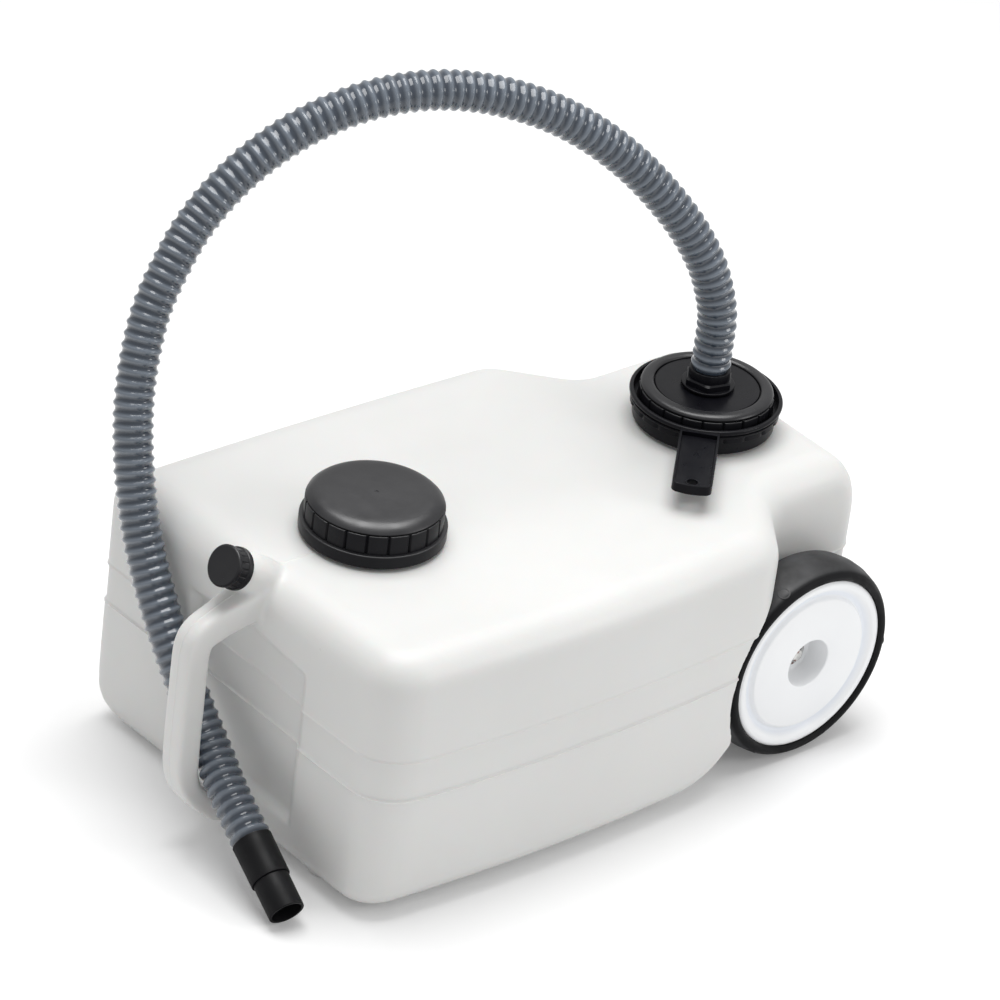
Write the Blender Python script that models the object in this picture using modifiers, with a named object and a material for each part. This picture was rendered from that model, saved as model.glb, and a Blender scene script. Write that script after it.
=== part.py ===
"""Wheeled water tank: a blow-moulded tank with a bar handle, two wheels, two screw caps, a vent cap,
a cap wrench and a ribbed hose.

Units are metres, +Z is up. The origin is on the ground under the middle of the tank. +X points to
the wheels, -X to the handle and -Y to the side on which the free end of the hose lies.
"""

import math

import bmesh
import bpy
from mathutils import Matrix, Vector

# Gaps, small edges and how far cutters reach past what they cut
SEAT_GAP = 0.0003
RIM_CLEARANCE = 0.0006
EDGE_BREAK = 0.001
CUT_OVERRUN = 0.008

# Tank shell
WALL = 0.0035
TANK_TOP = 0.225
TANK_FLOOR = 0.005
TAIL_X = 0.297
SIDE_HALF = 0.164
BULGE = 0.009
TAIL_CORNER = 0.022
WAIST_INNER_ROUND = 0.030
WAIST_OUTER_ROUND = 0.038
TOP_ROUND = 0.0285
TAIL_TOP_DEPTH = 0.042
TAIL_TOP_HEIGHT = 0.053
SIDE_FOOT_ROUND = 0.028
WAIST_FOOT_HEIGHT = 0.080
WAIST_FOOT_DEPTH = 0.104
BAND_LOW = 0.1077
BAND_HIGH = 0.141
BAND_INSET = 0.0013
BAND_STEP = 0.0012
LEAST_ROUND = 0.004
SIDE_STEPS = 5
WAIST_LEVEL_SHARE = 0.62
WAIST_WALL_SHARE = 1.6
TAIL_LEVEL_SHARE = 0.72

# The photograph shows the tank's two sides a little unlike: the near one has a rounder end corner
FAR_END_X = -0.237
NEAR_END_X = -0.230
FAR_END_CORNER = 0.010
NEAR_END_CORNER = 0.036
FAR_FOOT_HEIGHT = 0.060
NEAR_FOOT_HEIGHT = 0.024
FAR_FOOT_DEPTH = 0.013
NEAR_FOOT_DEPTH = 0.0235
NEAR_DRAFT = 0.0035
FAR_TAIL_HALF = 0.111
NEAR_TAIL_HALF = 0.104
FAR_WAIST_X = 0.176
NEAR_WAIST_X = 0.194
FAR_WAIST_TURN = math.radians(45)
NEAR_WAIST_TURN = math.radians(36)
FAR_BULGE_X = -0.150
NEAR_BULGE_X = -0.027
FAR_BULGE_REACH = 0.300
NEAR_BULGE_REACH = 0.178

# Shallow recess behind the handle
RECESS_HALF = 0.065
RECESS_LOW = 0.043
RECESS_HIGH = 0.170
RECESS_DEPTH = 0.007

# Moulded feet under the handle end
FOOT_RADIUS = 0.014
FOOT_X = -0.207
FOOT_Y = 0.085

# Handle, in the plane y = 0. Its root is given from the end wall and the tank's top, its upper bend
# from the grip's line and the top, its lower bend from the grip's line and the tank's floor.
GRIP_REACH = 0.0525
GRIP_RADIUS = 0.0115
ARM_RADIUS = 0.0138
LOW_ARM_RADIUS = 0.0085
HANDLE_ROOT = [
    (-0.0200, 0.0180, ARM_RADIUS), (0.0080, 0.0240, ARM_RADIUS), (0.0330, 0.0320, 0.98 * ARM_RADIUS),
]
HANDLE_UPPER = [
    (0.0085, 0.0385, 0.5 * (ARM_RADIUS + GRIP_RADIUS)), (0.0012, 0.0510, 1.03 * GRIP_RADIUS),
    (0.0, 0.0680, GRIP_RADIUS), (0.0, 0.0950, GRIP_RADIUS),
]
HANDLE_LOWER = [
    (0.0, 0.0950, GRIP_RADIUS), (0.0005, 0.0740, GRIP_RADIUS),
    (0.0025, 0.0580, 0.5 * (LOW_ARM_RADIUS + GRIP_RADIUS)), (0.0090, 0.0435, LOW_ARM_RADIUS),
    (0.0230, 0.0280, LOW_ARM_RADIUS), (0.0385, 0.0170, LOW_ARM_RADIUS),
    (0.0585, 0.0135, LOW_ARM_RADIUS),
]

# Necks and screw caps
FILLER_X = -0.122
OUTLET_X = 0.210
NECK_HEIGHT = 0.0242
NECK_RADIUS = 0.0466
NECK_BORE = 0.0400
CAP_LIFT = 0.003
COLLAR_RADIUS = 0.056
COLLAR_HEIGHT = 0.0105
COLLAR_WALL = 0.0035
SKIRT_RADIUS = 0.053
SKIRT_HEIGHT = 0.0155
CAP_THREAD_CLEARANCE = 0.0006
CAP_HEIGHT = 0.034
CAP_SHOULDER = 0.052
CAP_SHOULDER_DROP = 0.0055
CAP_UNDERCUT = 0.0495
CAP_UNDERCUT_HEIGHT = 0.0015
CAP_CROWN = 0.0006
CAP_TOP_EDGE = 0.0085
CAP_TOP_WALL = 0.003
RIB_COUNT = 20
GROOVE_WIDTH = 0.0022
GROOVE_DEPTH = 0.0018
SEAL_THICKNESS = 0.002

# Outlet disc, its ring and the hose fitting
RING_BORE = 0.042
RING_HEIGHT = 0.0310
RING_SHOULDER_DROP = 0.0033
BEAD_WIDTH = 0.003
BEAD_DROP = 0.0022
DISC_TOP_DROP = 0.0018
DISC_FLANGE = 0.0022
SLIP_RING = 0.001
FITTING_WASHER = 0.0012
FITTING_WASHER_RADIUS = 0.018
FITTING_FLANGE = 0.002
FITTING_FLANGE_RADIUS = 0.021
FITTING_HEX_RADIUS = 0.020
FITTING_HEX_HEIGHT = 0.0055
FITTING_COLLAR_RADIUS = 0.0175
FITTING_STEM_RADIUS = 0.0105
FITTING_STEM_LENGTH = 0.016
FITTING_TAIL_LENGTH = 0.021
FITTING_BORE = 0.0075
FITTING_TAIL_TAPER = 0.0015
FITTING_TAIL_POINT = 0.002
HEXAGON_OVERLAP = 0.004
STEM_CLEARANCE = 0.0005
LOCKNUT_RADIUS = 0.017
LOCKNUT_HEIGHT = 0.007

# Cap wrench
WRENCH_HEIGHT = 0.0118
WRENCH_LIP_RADIUS = 0.0605
WRENCH_FOOT_RADIUS = 0.0592
WRENCH_WALL = 0.002
WRENCH_LEDGE = 0.0025
WRENCH_HEM = 0.0017
WRENCH_LIP_HEIGHT = 0.003
WRENCH_LIP_INWARD = 0.0015
LEVER_REACH = 0.142
LEVER_WIDTH = 0.031
LEVER_THICKNESS = 0.0085
LEVER_TRAY = 0.004
LEVER_BORDER = 0.0025
LEVER_END_SAG = 0.004
LEVER_HOLE_RADIUS = 0.0042
LEVER_HOLE_INSET = 0.010
LEVER_ANGLE = math.radians(224)

# Vent
VENT_TILT = math.radians(28)
VENT_FACE_OUT = 0.030
VENT_FACE_RISE = 0.016
VENT_CAP_RADIUS = 0.0155
VENT_CAP_RING = 0.0165
VENT_CAP_RING_HEIGHT = 0.004
VENT_CAP_LENGTH = 0.016
VENT_CAP_TOP = 0.0022
VENT_SEAL = 0.0015
VENT_SPOUT_RADIUS = 0.0117
VENT_SPOUT_ROOT = 0.0140
VENT_SPOUT_LENGTH = 0.052
VENT_BORE = 0.008
VENT_THREAD_CLEARANCE = 0.0006

# Wheels and axle
AXLE_X = 0.2105
AXLE_RADIUS = 0.005
AXLE_CLEARANCE = 0.0004
AXLE_END = 0.1407
WHEEL_RADIUS = 0.0848
WHEEL_WIDTH = 0.042
WHEEL_INNER_Y = 0.1142
WELL_CLEARANCE = 0.0067
WELL_INNER_Y = 0.1045
TYRE_THICKNESS = 0.0117
TYRE_CROWN = 0.0022
TYRE_SHOULDER = 0.004
TYRE_BEAD = 0.002
RIM_INSET = 0.0018
RIM_BARREL = 0.004
RIM_LIP_WIDTH = 0.0075
RIM_GROOVE_WIDTH = 0.0065
RIM_GROOVE_SLOPE = 0.0045
RIM_GROOVE_DEPTH = 0.004
RIM_WEB = 0.004
RIM_DISC_DROP = 0.0015
HUB_RECESS_RADIUS = 0.0205
HUB_RECESS_DEPTH = 0.022
HUB_WALL = 0.003
HUB_RADIUS = 0.011
OUTER_WASHER_RADIUS = 0.0095
OUTER_WASHER = 0.0015
PUSH_NUT_RADIUS = 0.011
PUSH_NUT_HEIGHT = 0.0025
PUSH_NUT_TEETH = 8
PUSH_NUT_METAL = 0.001
PUSH_NUT_FLAT_SHARE = 0.7
SPACER_RADIUS = 0.009

# Hose
HOSE_RIB_RADIUS = 0.01575
HOSE_BODY_RADIUS = 0.0142
HOSE_BORE = 0.0123
HOSE_RIB_PITCH = 0.00845
SLEEVE_LENGTH = 0.035
SLEEVE_RADIUS = 0.0154
SLEEVE_BORE = 0.0122
NOZZLE_LENGTH = 0.0285
NOZZLE_RADIUS = 0.014
NOZZLE_BORE = 0.0118
HOSE_STRAIGHT_EXTRA = 0.004

# The hose leaves the fitting straight up, goes over the tank and comes down behind the handle's grip.
HOSE_ROUTE = [
    (0.2024, 0.0063, 0.3527), (0.1868, 0.0175, 0.3882), (0.1660, 0.0312, 0.4191),
    (0.1419, 0.0450, 0.4469), (0.1136, 0.0591, 0.4717), (0.0830, 0.0733, 0.4915),
    (0.0497, 0.0874, 0.5063), (0.0161, 0.1011, 0.5153), (-0.0180, 0.1129, 0.5189),
    (-0.0520, 0.1245, 0.5157), (-0.0832, 0.1348, 0.5069), (-0.1138, 0.1441, 0.4928),
    (-0.1414, 0.1519, 0.4740), (-0.1667, 0.1566, 0.4524), (-0.1896, 0.1597, 0.4254),
    (-0.2082, 0.1587, 0.3977), (-0.2237, 0.1569, 0.3672), (-0.2353, 0.1513, 0.3350),
    (-0.2437, 0.1437, 0.3030), (-0.2494, 0.1335, 0.2711), (-0.2526, 0.1217, 0.2386),
    (-0.2540, 0.1080, 0.2060), (-0.2540, 0.0920, 0.1755), (-0.2535, 0.0730, 0.1470),
    (-0.2530, 0.0520, 0.1204), (-0.2535, 0.0280, 0.0962), (-0.2555, 0.0020, 0.0755),
]
HOSE_END = Vector((-0.2688, -0.0705, 0.0400))
HOSE_END_DIRECTION = Vector((-0.134, -0.898, -0.417)).normalized()

# Worked out from the sizes above
TAU = 2 * math.pi
END_X = (FAR_END_X + NEAR_END_X) / 2
CAP_BASE = TANK_TOP + CAP_LIFT
CAP_TOP = CAP_BASE + CAP_HEIGHT
NECK_RIM = TANK_TOP + NECK_HEIGHT
SEAL_TOP = NECK_RIM + SEAT_GAP + SEAL_THICKNESS
CAP_SEAT = SEAL_TOP + SEAT_GAP
COLLAR_TOP = CAP_BASE + COLLAR_HEIGHT
SKIRT_TOP = COLLAR_TOP + SKIRT_HEIGHT
CAP_BORE = NECK_RADIUS + CAP_THREAD_CLEARANCE
DISC_FLANGE_TOP = CAP_SEAT + DISC_FLANGE
SLIP_RING_TOP = DISC_FLANGE_TOP + SEAT_GAP + SLIP_RING
RING_TOP = CAP_BASE + RING_HEIGHT
DISC_TOP = RING_TOP - DISC_TOP_DROP
FITTING_BASE = DISC_TOP + SEAT_GAP + FITTING_WASHER + SEAT_GAP
HEX_TOP = FITTING_BASE + FITTING_FLANGE + FITTING_HEX_HEIGHT
HOSE_START = Vector((OUTLET_X, 0, 0.274))
COLLAR_END = HOSE_START.z - SEAT_GAP
VENT_FACE = Vector((END_X - VENT_FACE_OUT, 0, TANK_TOP + VENT_FACE_RISE))
VENT_AXIS = Vector((-math.cos(VENT_TILT), 0, math.sin(VENT_TILT)))
RIM_RADIUS = WHEEL_RADIUS - TYRE_THICKNESS
WHEEL_OUTER_Y = WHEEL_INNER_Y + WHEEL_WIDTH
RIM_OUTER_Y = WHEEL_OUTER_Y - RIM_INSET
HUB_FLOOR_Y = RIM_OUTER_Y - HUB_RECESS_DEPTH
HUB_INNER_Y = WHEEL_INNER_Y + SEAT_GAP
AXLE_BORE = AXLE_RADIUS + AXLE_CLEARANCE

FAR_PLAN = {
    "end_x": FAR_END_X, "corner": FAR_END_CORNER, "foot_height": FAR_FOOT_HEIGHT,
    "foot_depth": FAR_FOOT_DEPTH, "draft": 0.0, "tail_half": FAR_TAIL_HALF, "waist_x": FAR_WAIST_X,
    "waist_turn": FAR_WAIST_TURN, "bulge_x": FAR_BULGE_X, "bulge_reach": FAR_BULGE_REACH,
}
NEAR_PLAN = {
    "end_x": NEAR_END_X, "corner": NEAR_END_CORNER, "foot_height": NEAR_FOOT_HEIGHT,
    "foot_depth": NEAR_FOOT_DEPTH, "draft": NEAR_DRAFT, "tail_half": NEAR_TAIL_HALF,
    "waist_x": NEAR_WAIST_X, "waist_turn": NEAR_WAIST_TURN, "bulge_x": NEAR_BULGE_X,
    "bulge_reach": NEAR_BULGE_REACH,
}

WHITE = ("tank_plastic", (0.86, 0.86, 0.84), 0.45, 0.0)
RIM_WHITE = ("rim_plastic", (0.90, 0.90, 0.90), 0.25, 0.0)
BLACK = ("cap_plastic", (0.012, 0.012, 0.013), 0.42, 0.0)
RUBBER = ("tyre_rubber", (0.010, 0.010, 0.011), 0.55, 0.0)
SEAL_RUBBER = ("seal_rubber", (0.030, 0.030, 0.032), 0.80, 0.0)
HOSE_GREY = ("hose_plastic", (0.10, 0.12, 0.15), 0.22, 0.0)
STEEL = ("zinc_steel", (0.62, 0.62, 0.60), 0.35, 1.0)


def clear_scene():
    for obj in list(bpy.data.objects):
        bpy.data.objects.remove(obj, do_unlink=True)


def new_collection(name):
    collection = bpy.data.collections.new(name)
    bpy.context.scene.collection.children.link(collection)
    return collection


clear_scene()
PARTS = new_collection("wheeled_water_tank")
CUTTERS = new_collection("cutters")


def set_material(obj, look):
    name, colour, roughness, metallic = look
    material = bpy.data.materials.new(obj.name + "_" + name)
    material.use_nodes = True
    shader = material.node_tree.nodes["Principled BSDF"]
    shader.inputs["Base Color"].default_value = (*colour, 1.0)
    shader.inputs["Roughness"].default_value = roughness
    shader.inputs["Metallic"].default_value = metallic
    obj.data.materials.append(material)


def add_object(name, mesh, look=None):
    """Put a mesh in the scene: a part if it has a look, otherwise a cutter."""
    obj = bpy.data.objects.new(name, mesh)
    if look is None:
        CUTTERS.objects.link(obj)
        obj.hide_render = True
        obj.display_type = "WIRE"
    else:
        PARTS.objects.link(obj)
        set_material(obj, look)
    return obj


def smooth(obj, angle=math.radians(35)):
    obj.data.shade_smooth()
    obj.data.set_sharp_from_angle(angle=angle)


def add_boolean(obj, other, operation="DIFFERENCE"):
    modifier = obj.modifiers.new(operation.lower(), "BOOLEAN")
    modifier.operation = operation
    modifier.object = other
    modifier.solver = "EXACT"


def turned(name, profile, steps, look=None, closed=True):
    """Turn a profile of (radius, height) points about Z. A closed profile is a ring."""
    mesh = bpy.data.meshes.new(name)
    count = len(profile)
    edges = [(i, i + 1) for i in range(count - 1)]
    if closed:
        edges.append((count - 1, 0))
    mesh.from_pydata([(r, 0, z) for r, z in profile], edges, [])
    obj = add_object(name, mesh, look)
    screw = obj.modifiers.new("turn", "SCREW")
    screw.steps = steps
    screw.render_steps = steps
    screw.use_merge_vertices = True
    screw.merge_threshold = 0.00001
    screw.use_smooth_shade = True
    return obj


def cylinder(name, radius, depth, steps, look=None, centre=(0, 0, 0), along="Z"):
    bm = bmesh.new()
    bmesh.ops.create_cone(
        bm, cap_ends=True, segments=steps, radius1=radius, radius2=radius, depth=depth)
    mesh = bpy.data.meshes.new(name)
    bm.to_mesh(mesh)
    bm.free()
    obj = add_object(name, mesh, look)
    obj.location = centre
    if along == "Y":
        obj.rotation_euler = (math.pi / 2, 0, 0)
    return obj


def box(name, low, high, look=None, bevel=0.0):
    bm = bmesh.new()
    bmesh.ops.create_cube(bm, size=1.0)
    size = Vector(high) - Vector(low)
    centre = (Vector(high) + Vector(low)) / 2
    bmesh.ops.scale(bm, vec=size, verts=bm.verts)
    mesh = bpy.data.meshes.new(name)
    bm.to_mesh(mesh)
    bm.free()
    obj = add_object(name, mesh, look)
    obj.location = centre
    if bevel > 0:
        modifier = obj.modifiers.new("rounded edges", "BEVEL")
        modifier.width = bevel
        modifier.segments = 2
    return obj


def loft(name, rings, look=None):
    """Join rings of points, all of one count, and close the first and the last ring."""
    count = len(rings[0])
    points = [p for ring in rings for p in ring]
    faces = [tuple(reversed(range(count)))]
    for level in range(len(rings) - 1):
        low = level * count
        high = low + count
        for i in range(count):
            j = (i + 1) % count
            faces.append((low + i, low + j, high + j, high + i))
    faces.append(tuple(range(len(points) - count, len(points))))
    mesh = bpy.data.meshes.new(name)
    mesh.from_pydata(points, [], faces)
    return add_object(name, mesh, look)


def hermite(p0, p1, m0, m1, t):
    a = 2 * t ** 3 - 3 * t ** 2 + 1
    b = t ** 3 - 2 * t ** 2 + t
    c = -2 * t ** 3 + 3 * t ** 2
    d = t ** 3 - t ** 2
    return p0 * a + m0 * b + p1 * c + m1 * d


def smooth_path(points, steps):
    """A smooth curve through the points. Its first and last runs are straight."""
    points = [Vector(p) for p in points]
    last = len(points) - 1
    slopes = [(points[min(i + 1, last)] - points[max(i - 1, 0)]) / 2 for i in range(last + 1)]
    slopes[0] = points[1] - points[0]
    slopes[1] = slopes[0].normalized() * (points[2] - points[1]).length
    slopes[last] = points[last] - points[last - 1]
    slopes[last - 1] = slopes[last].normalized() * (points[last - 1] - points[last - 2]).length
    path = [points[0]]
    for i in range(1, last - 1):
        for k in range(steps):
            path.append(hermite(points[i], points[i + 1], slopes[i], slopes[i + 1], k / steps))
    return path + [points[last - 1], points[last]]


def even_points(path, count):
    """Points at equal distances along a path."""
    lengths = [0.0]
    for a, b in zip(path, path[1:]):
        lengths.append(lengths[-1] + (b - a).length)
    spaced = []
    k = 0
    for i in range(count):
        goal = lengths[-1] * i / (count - 1)
        while k < len(path) - 2 and lengths[k + 1] < goal:
            k += 1
        share = (goal - lengths[k]) / (lengths[k + 1] - lengths[k])
        spaced.append(path[k].lerp(path[k + 1], share))
    return spaced, lengths[-1]


def tube(name, points, radii, resolution, look=None):
    """A tube with a radius at each point, as a mesh."""
    curve = bpy.data.curves.new(name + "_curve", "CURVE")
    curve.dimensions = "3D"
    curve.bevel_depth = 1.0
    curve.bevel_resolution = resolution
    curve.use_fill_caps = True
    curve.twist_mode = "MINIMUM"
    spline = curve.splines.new("POLY")
    spline.points.add(len(points) - 1)
    for point, place, radius in zip(spline.points, points, radii):
        point.co = (*place, 1.0)
        point.radius = radius
    guide = bpy.data.objects.new(name + "_curve", curve)
    bpy.context.scene.collection.objects.link(guide)
    depsgraph = bpy.context.evaluated_depsgraph_get()
    mesh = bpy.data.meshes.new_from_object(guide.evaluated_get(depsgraph))
    bm = bmesh.new()
    bm.from_mesh(mesh)
    bmesh.ops.remove_doubles(bm, verts=bm.verts, dist=0.00001)
    bm.to_mesh(mesh)
    bm.free()
    obj = add_object(name, mesh, look)
    obj.matrix_world = guide.matrix_world
    bpy.data.objects.remove(guide, do_unlink=True)
    return obj


def crossing(line_a, line_b):
    """Where two lines meet, each given as (nx, ny, distance)."""
    ax, ay, ad = line_a
    bx, by, bd = line_b
    det = ax * by - ay * bx
    return ((ad * by - bd * ay) / det, (ax * bd - bx * ad) / det)


def corner_arc(line_a, line_b, radius, steps, convex):
    """Points of the arc that rounds the corner between two lines of an outline."""
    side = -1.0 if convex else 1.0
    shifted_a = (line_a[0], line_a[1], line_a[2] + side * radius)
    shifted_b = (line_b[0], line_b[1], line_b[2] + side * radius)
    cx, cy = crossing(shifted_a, shifted_b)
    start = math.atan2(-side * line_a[1], -side * line_a[0])
    end = math.atan2(-side * line_b[1], -side * line_b[0])
    if convex and end < start:
        end += TAU
    if not convex and end > start:
        end -= TAU
    return [
        (cx + radius * math.cos(start + (end - start) * i / steps),
         cy + radius * math.sin(start + (end - start) * i / steps))
        for i in range(steps + 1)]


def half_outline(side_inset, end_inset, tail_inset, waist_inset, plan):
    """Half the plan of the tank, from the tail's corner round to the end wall."""
    along, across = math.cos(plan["waist_turn"]), math.sin(plan["waist_turn"])
    waist_reach = plan["waist_x"] * along + plan["tail_half"] * across
    tail_line = (1, 0, TAIL_X - tail_inset)
    neck_line = (0, 1, plan["tail_half"] - side_inset)
    waist_line = (along, across, waist_reach - max(side_inset, waist_inset))
    side_line = (0, 1, SIDE_HALF - side_inset)
    end_line = (-1, 0, -plan["end_x"] - end_inset)

    def rounded(a, b, radius, inset, steps, convex=True):
        size = max(radius - inset, LEAST_ROUND) if convex else radius + inset
        return corner_arc(a, b, size, steps, convex)

    tail_corner = rounded(tail_line, neck_line, TAIL_CORNER, side_inset, 3)
    inner = rounded(neck_line, waist_line, WAIST_INNER_ROUND, side_inset, 3, convex=False)
    outer = rounded(waist_line, side_line, WAIST_OUTER_ROUND, side_inset, 3)
    end_corner = rounded(side_line, end_line, plan["corner"], max(side_inset, end_inset), 4)
    side = []
    for i in range(1, SIDE_STEPS):
        share = i / SIDE_STEPS
        side.append((outer[-1][0] + (end_corner[0][0] - outer[-1][0]) * share, outer[-1][1]))
    bulged = []
    for x, y in tail_corner + inner + outer + side + end_corner:
        away = (x - plan["bulge_x"]) / plan["bulge_reach"]
        bulged.append((x, y + BULGE * max(0.0, 1 - away * away) * y / SIDE_HALF))
    return bulged


def quarter(height, round_height, round_depth):
    """How far a rounded edge has drawn in at a height above the start of its rounding."""
    share = min(max(height / round_height, 0.0), 1.0)
    return round_depth * (1 - math.sqrt(max(0.0, 1 - share * share)))


def tank_ring(z, shrink, band):
    """The plan of the tank at a height, anticlockwise, shrunk by the wall where that is asked for."""
    top = TANK_TOP - shrink
    floor = TANK_FLOOR + shrink
    side_foot = SIDE_FOOT_ROUND - shrink
    top_round = TOP_ROUND - shrink
    inset = shrink + (BAND_INSET if band else 0.0)
    top_inset = quarter(z - (top - top_round), top_round, top_round) + inset
    side_foot_inset = quarter(floor + side_foot - z, side_foot, side_foot)
    tail = quarter(z - (top - TAIL_TOP_HEIGHT + shrink), TAIL_TOP_HEIGHT - shrink,
                   TAIL_TOP_DEPTH - shrink)
    waist = quarter(TANK_FLOOR + WAIST_FOOT_HEIGHT - z, WAIST_FOOT_HEIGHT, WAIST_FOOT_DEPTH)
    waist += WAIST_WALL_SHARE * shrink
    draft = max(0.0, 1 - (z - floor) / (BAND_HIGH - floor))
    halves = []
    for plan in (FAR_PLAN, NEAR_PLAN):
        foot_height = plan["foot_height"] - shrink
        foot = quarter(floor + foot_height - z, foot_height, plan["foot_depth"] - shrink)
        end = top_inset + foot - plan["draft"] * draft
        halves.append(half_outline(top_inset + side_foot_inset, end, tail + side_foot_inset + inset,
                                   waist, plan))
    far, near = halves
    return [(x, y, z) for x, y in far] + [(x, -y, z) for x, y in reversed(near)]


def tank_levels(shrink):
    """Heights of the rings, with whether each lies on the band."""
    top = TANK_TOP - shrink
    floor = TANK_FLOOR + shrink
    foot = SIDE_FOOT_ROUND - shrink
    top_round = TOP_ROUND - shrink
    levels = [(floor + foot * (1 - math.cos(math.radians(a))), False) for a in (0, 28, 48, 64, 90)]
    levels.append((TANK_FLOOR + WAIST_LEVEL_SHARE * WAIST_FOOT_HEIGHT, False))
    if shrink == 0:
        levels += [(BAND_LOW - BAND_STEP / 2, False), (BAND_LOW + BAND_STEP / 2, True)]
        levels += [(BAND_HIGH - BAND_STEP / 2, True), (BAND_HIGH + BAND_STEP / 2, False)]
    levels.append((top - TAIL_TOP_HEIGHT + shrink, False))
    levels.append((top - TAIL_LEVEL_SHARE * TAIL_TOP_HEIGHT, False))
    levels += [(top - top_round * (1 - math.sin(math.radians(a))), False) for a in (0, 28, 54, 75, 90)]
    return levels


def tank_solid(name, shrink, look=None):
    rings = [tank_ring(z, shrink, band) for z, band in tank_levels(shrink)]
    return loft(name, rings, look)


def well_cutters(name, grow):
    """One cutter for both wheel wells: cylinders round the axle, outside the tail."""
    radius = WHEEL_RADIUS + WELL_CLEARANCE + grow
    reach = SIDE_HALF + BULGE + 2 * CUT_OVERRUN
    inner = WELL_INNER_Y - grow
    cutters = []
    for side, word in ((-1, "left"), (1, "right")):
        middle = side * (inner + reach) / 2
        place = (AXLE_X, middle, WHEEL_RADIUS)
        cutters.append(cylinder(name + "_" + word, radius, reach - inner, 36, None, place, "Y"))
    return cutters


def handle_bar():
    """The bar handle as one tube: down from the top edge, along the grip and back to the floor."""
    grip = END_X - GRIP_REACH
    places = [(END_X - out, TANK_TOP - drop, radius) for out, drop, radius in HANDLE_ROOT]
    places += [(grip + inward, TANK_TOP - drop, radius) for inward, drop, radius in HANDLE_UPPER]
    places += [(grip + inward, TANK_FLOOR + rise, radius) for inward, rise, radius in HANDLE_LOWER]
    points = [(x, 0, z) for x, z, _ in places]
    return tube("handle_bar", points, [r for _, _, r in places], 3)


def tank_body():
    tank = tank_solid("tank_body", 0.0, WHITE)
    for name, x in (("filler_neck", FILLER_X), ("outlet_neck", OUTLET_X)):
        low = TANK_TOP - 2 * WALL
        neck = cylinder(name, NECK_RADIUS, NECK_RIM - low, 32, None, (x, 0, (NECK_RIM + low) / 2))
        add_boolean(tank, neck, "UNION")
    add_boolean(tank, handle_bar(), "UNION")
    spout_start = VENT_CAP_TOP + 2 * SEAT_GAP + VENT_SEAL
    root_start = VENT_CAP_LENGTH + EDGE_BREAK
    spout = turned("vent_spout", [
        (0, -spout_start), (VENT_SPOUT_RADIUS, -spout_start), (VENT_SPOUT_RADIUS, -root_start),
        (VENT_SPOUT_ROOT, -root_start - EDGE_BREAK), (VENT_SPOUT_ROOT, -VENT_SPOUT_LENGTH),
        (0, -VENT_SPOUT_LENGTH)], 22, closed=False)
    place_on_vent(spout)
    add_boolean(tank, spout, "UNION")
    for side, word in ((-1, "left"), (1, "right")):
        foot = cylinder("foot_" + word, FOOT_RADIUS, 2 * TANK_FLOOR, 20, None,
                        (FOOT_X, side * FOOT_Y, TANK_FLOOR))
        add_boolean(tank, foot, "UNION")
    for well in well_cutters("wheel_well", 0.0):
        add_boolean(tank, well)
    recess = box("handle_recess", (END_X - 2 * RECESS_DEPTH, -RECESS_HALF, RECESS_LOW),
                 (END_X + RECESS_DEPTH, RECESS_HALF, RECESS_HIGH), bevel=0.9 * RECESS_DEPTH)
    add_boolean(tank, recess)
    cavity = tank_solid("tank_cavity", WALL)
    for well in well_cutters("well_wall", WALL):
        add_boolean(cavity, well)
    recess_wall = box("recess_wall", (END_X - 2 * RECESS_DEPTH, -RECESS_HALF - WALL, RECESS_LOW - WALL),
                      (END_X + RECESS_DEPTH + WALL, RECESS_HALF + WALL, RECESS_HIGH + WALL))
    add_boolean(cavity, recess_wall)
    tunnel_wall = cylinder("tunnel_wall", AXLE_BORE + WALL, 2 * SIDE_HALF, 20, None,
                           (AXLE_X, 0, WHEEL_RADIUS), "Y")
    add_boolean(cavity, tunnel_wall)
    add_boolean(tank, cavity)
    add_boolean(tank, cylinder("axle_tunnel", AXLE_BORE, 2 * SIDE_HALF, 20, None,
                               (AXLE_X, 0, WHEEL_RADIUS), "Y"))
    for name, x in (("filler_bore", FILLER_X), ("outlet_bore", OUTLET_X)):
        low = TANK_TOP - 4 * WALL
        high = NECK_RIM + WALL
        add_boolean(tank, cylinder(name, NECK_BORE, high - low, 32, None, (x, 0, (high + low) / 2)))
    bore_length = VENT_SPOUT_LENGTH + CUT_OVERRUN
    bore = cylinder("vent_bore", VENT_BORE, bore_length, 25)
    place_on_vent(bore, -bore_length / 2)
    add_boolean(tank, bore)
    smooth(tank)
    return tank


def place_on_vent(obj, along=0.0):
    """Stand an object on the vent's axis, with its +Z outward, measured from the cap's face."""
    obj.location = VENT_FACE + VENT_AXIS * along
    obj.rotation_euler = (0, -(math.pi / 2 - VENT_TILT), 0)


def groove_cutter(name, x):
    """One cutter for all the grooves round a cap's skirt."""
    bm = bmesh.new()
    height = SKIRT_TOP - COLLAR_TOP
    for i in range(RIB_COUNT):
        made = bmesh.ops.create_cube(bm, size=1.0)["verts"]
        bmesh.ops.scale(bm, vec=(2 * GROOVE_DEPTH, GROOVE_WIDTH, height + 2 * SEAT_GAP), verts=made)
        bmesh.ops.translate(bm, vec=(SKIRT_RADIUS, 0, COLLAR_TOP + height / 2 + 2 * SEAT_GAP), verts=made)
        turn = TAU * (i + 0.5) / RIB_COUNT
        bmesh.ops.rotate(bm, cent=(0, 0, 0), matrix=Matrix.Rotation(turn, 3, "Z"), verts=made)
    mesh = bpy.data.meshes.new(name)
    bm.to_mesh(mesh)
    bm.free()
    obj = add_object(name, mesh)
    obj.location = (x, 0, 0)
    return obj


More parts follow.
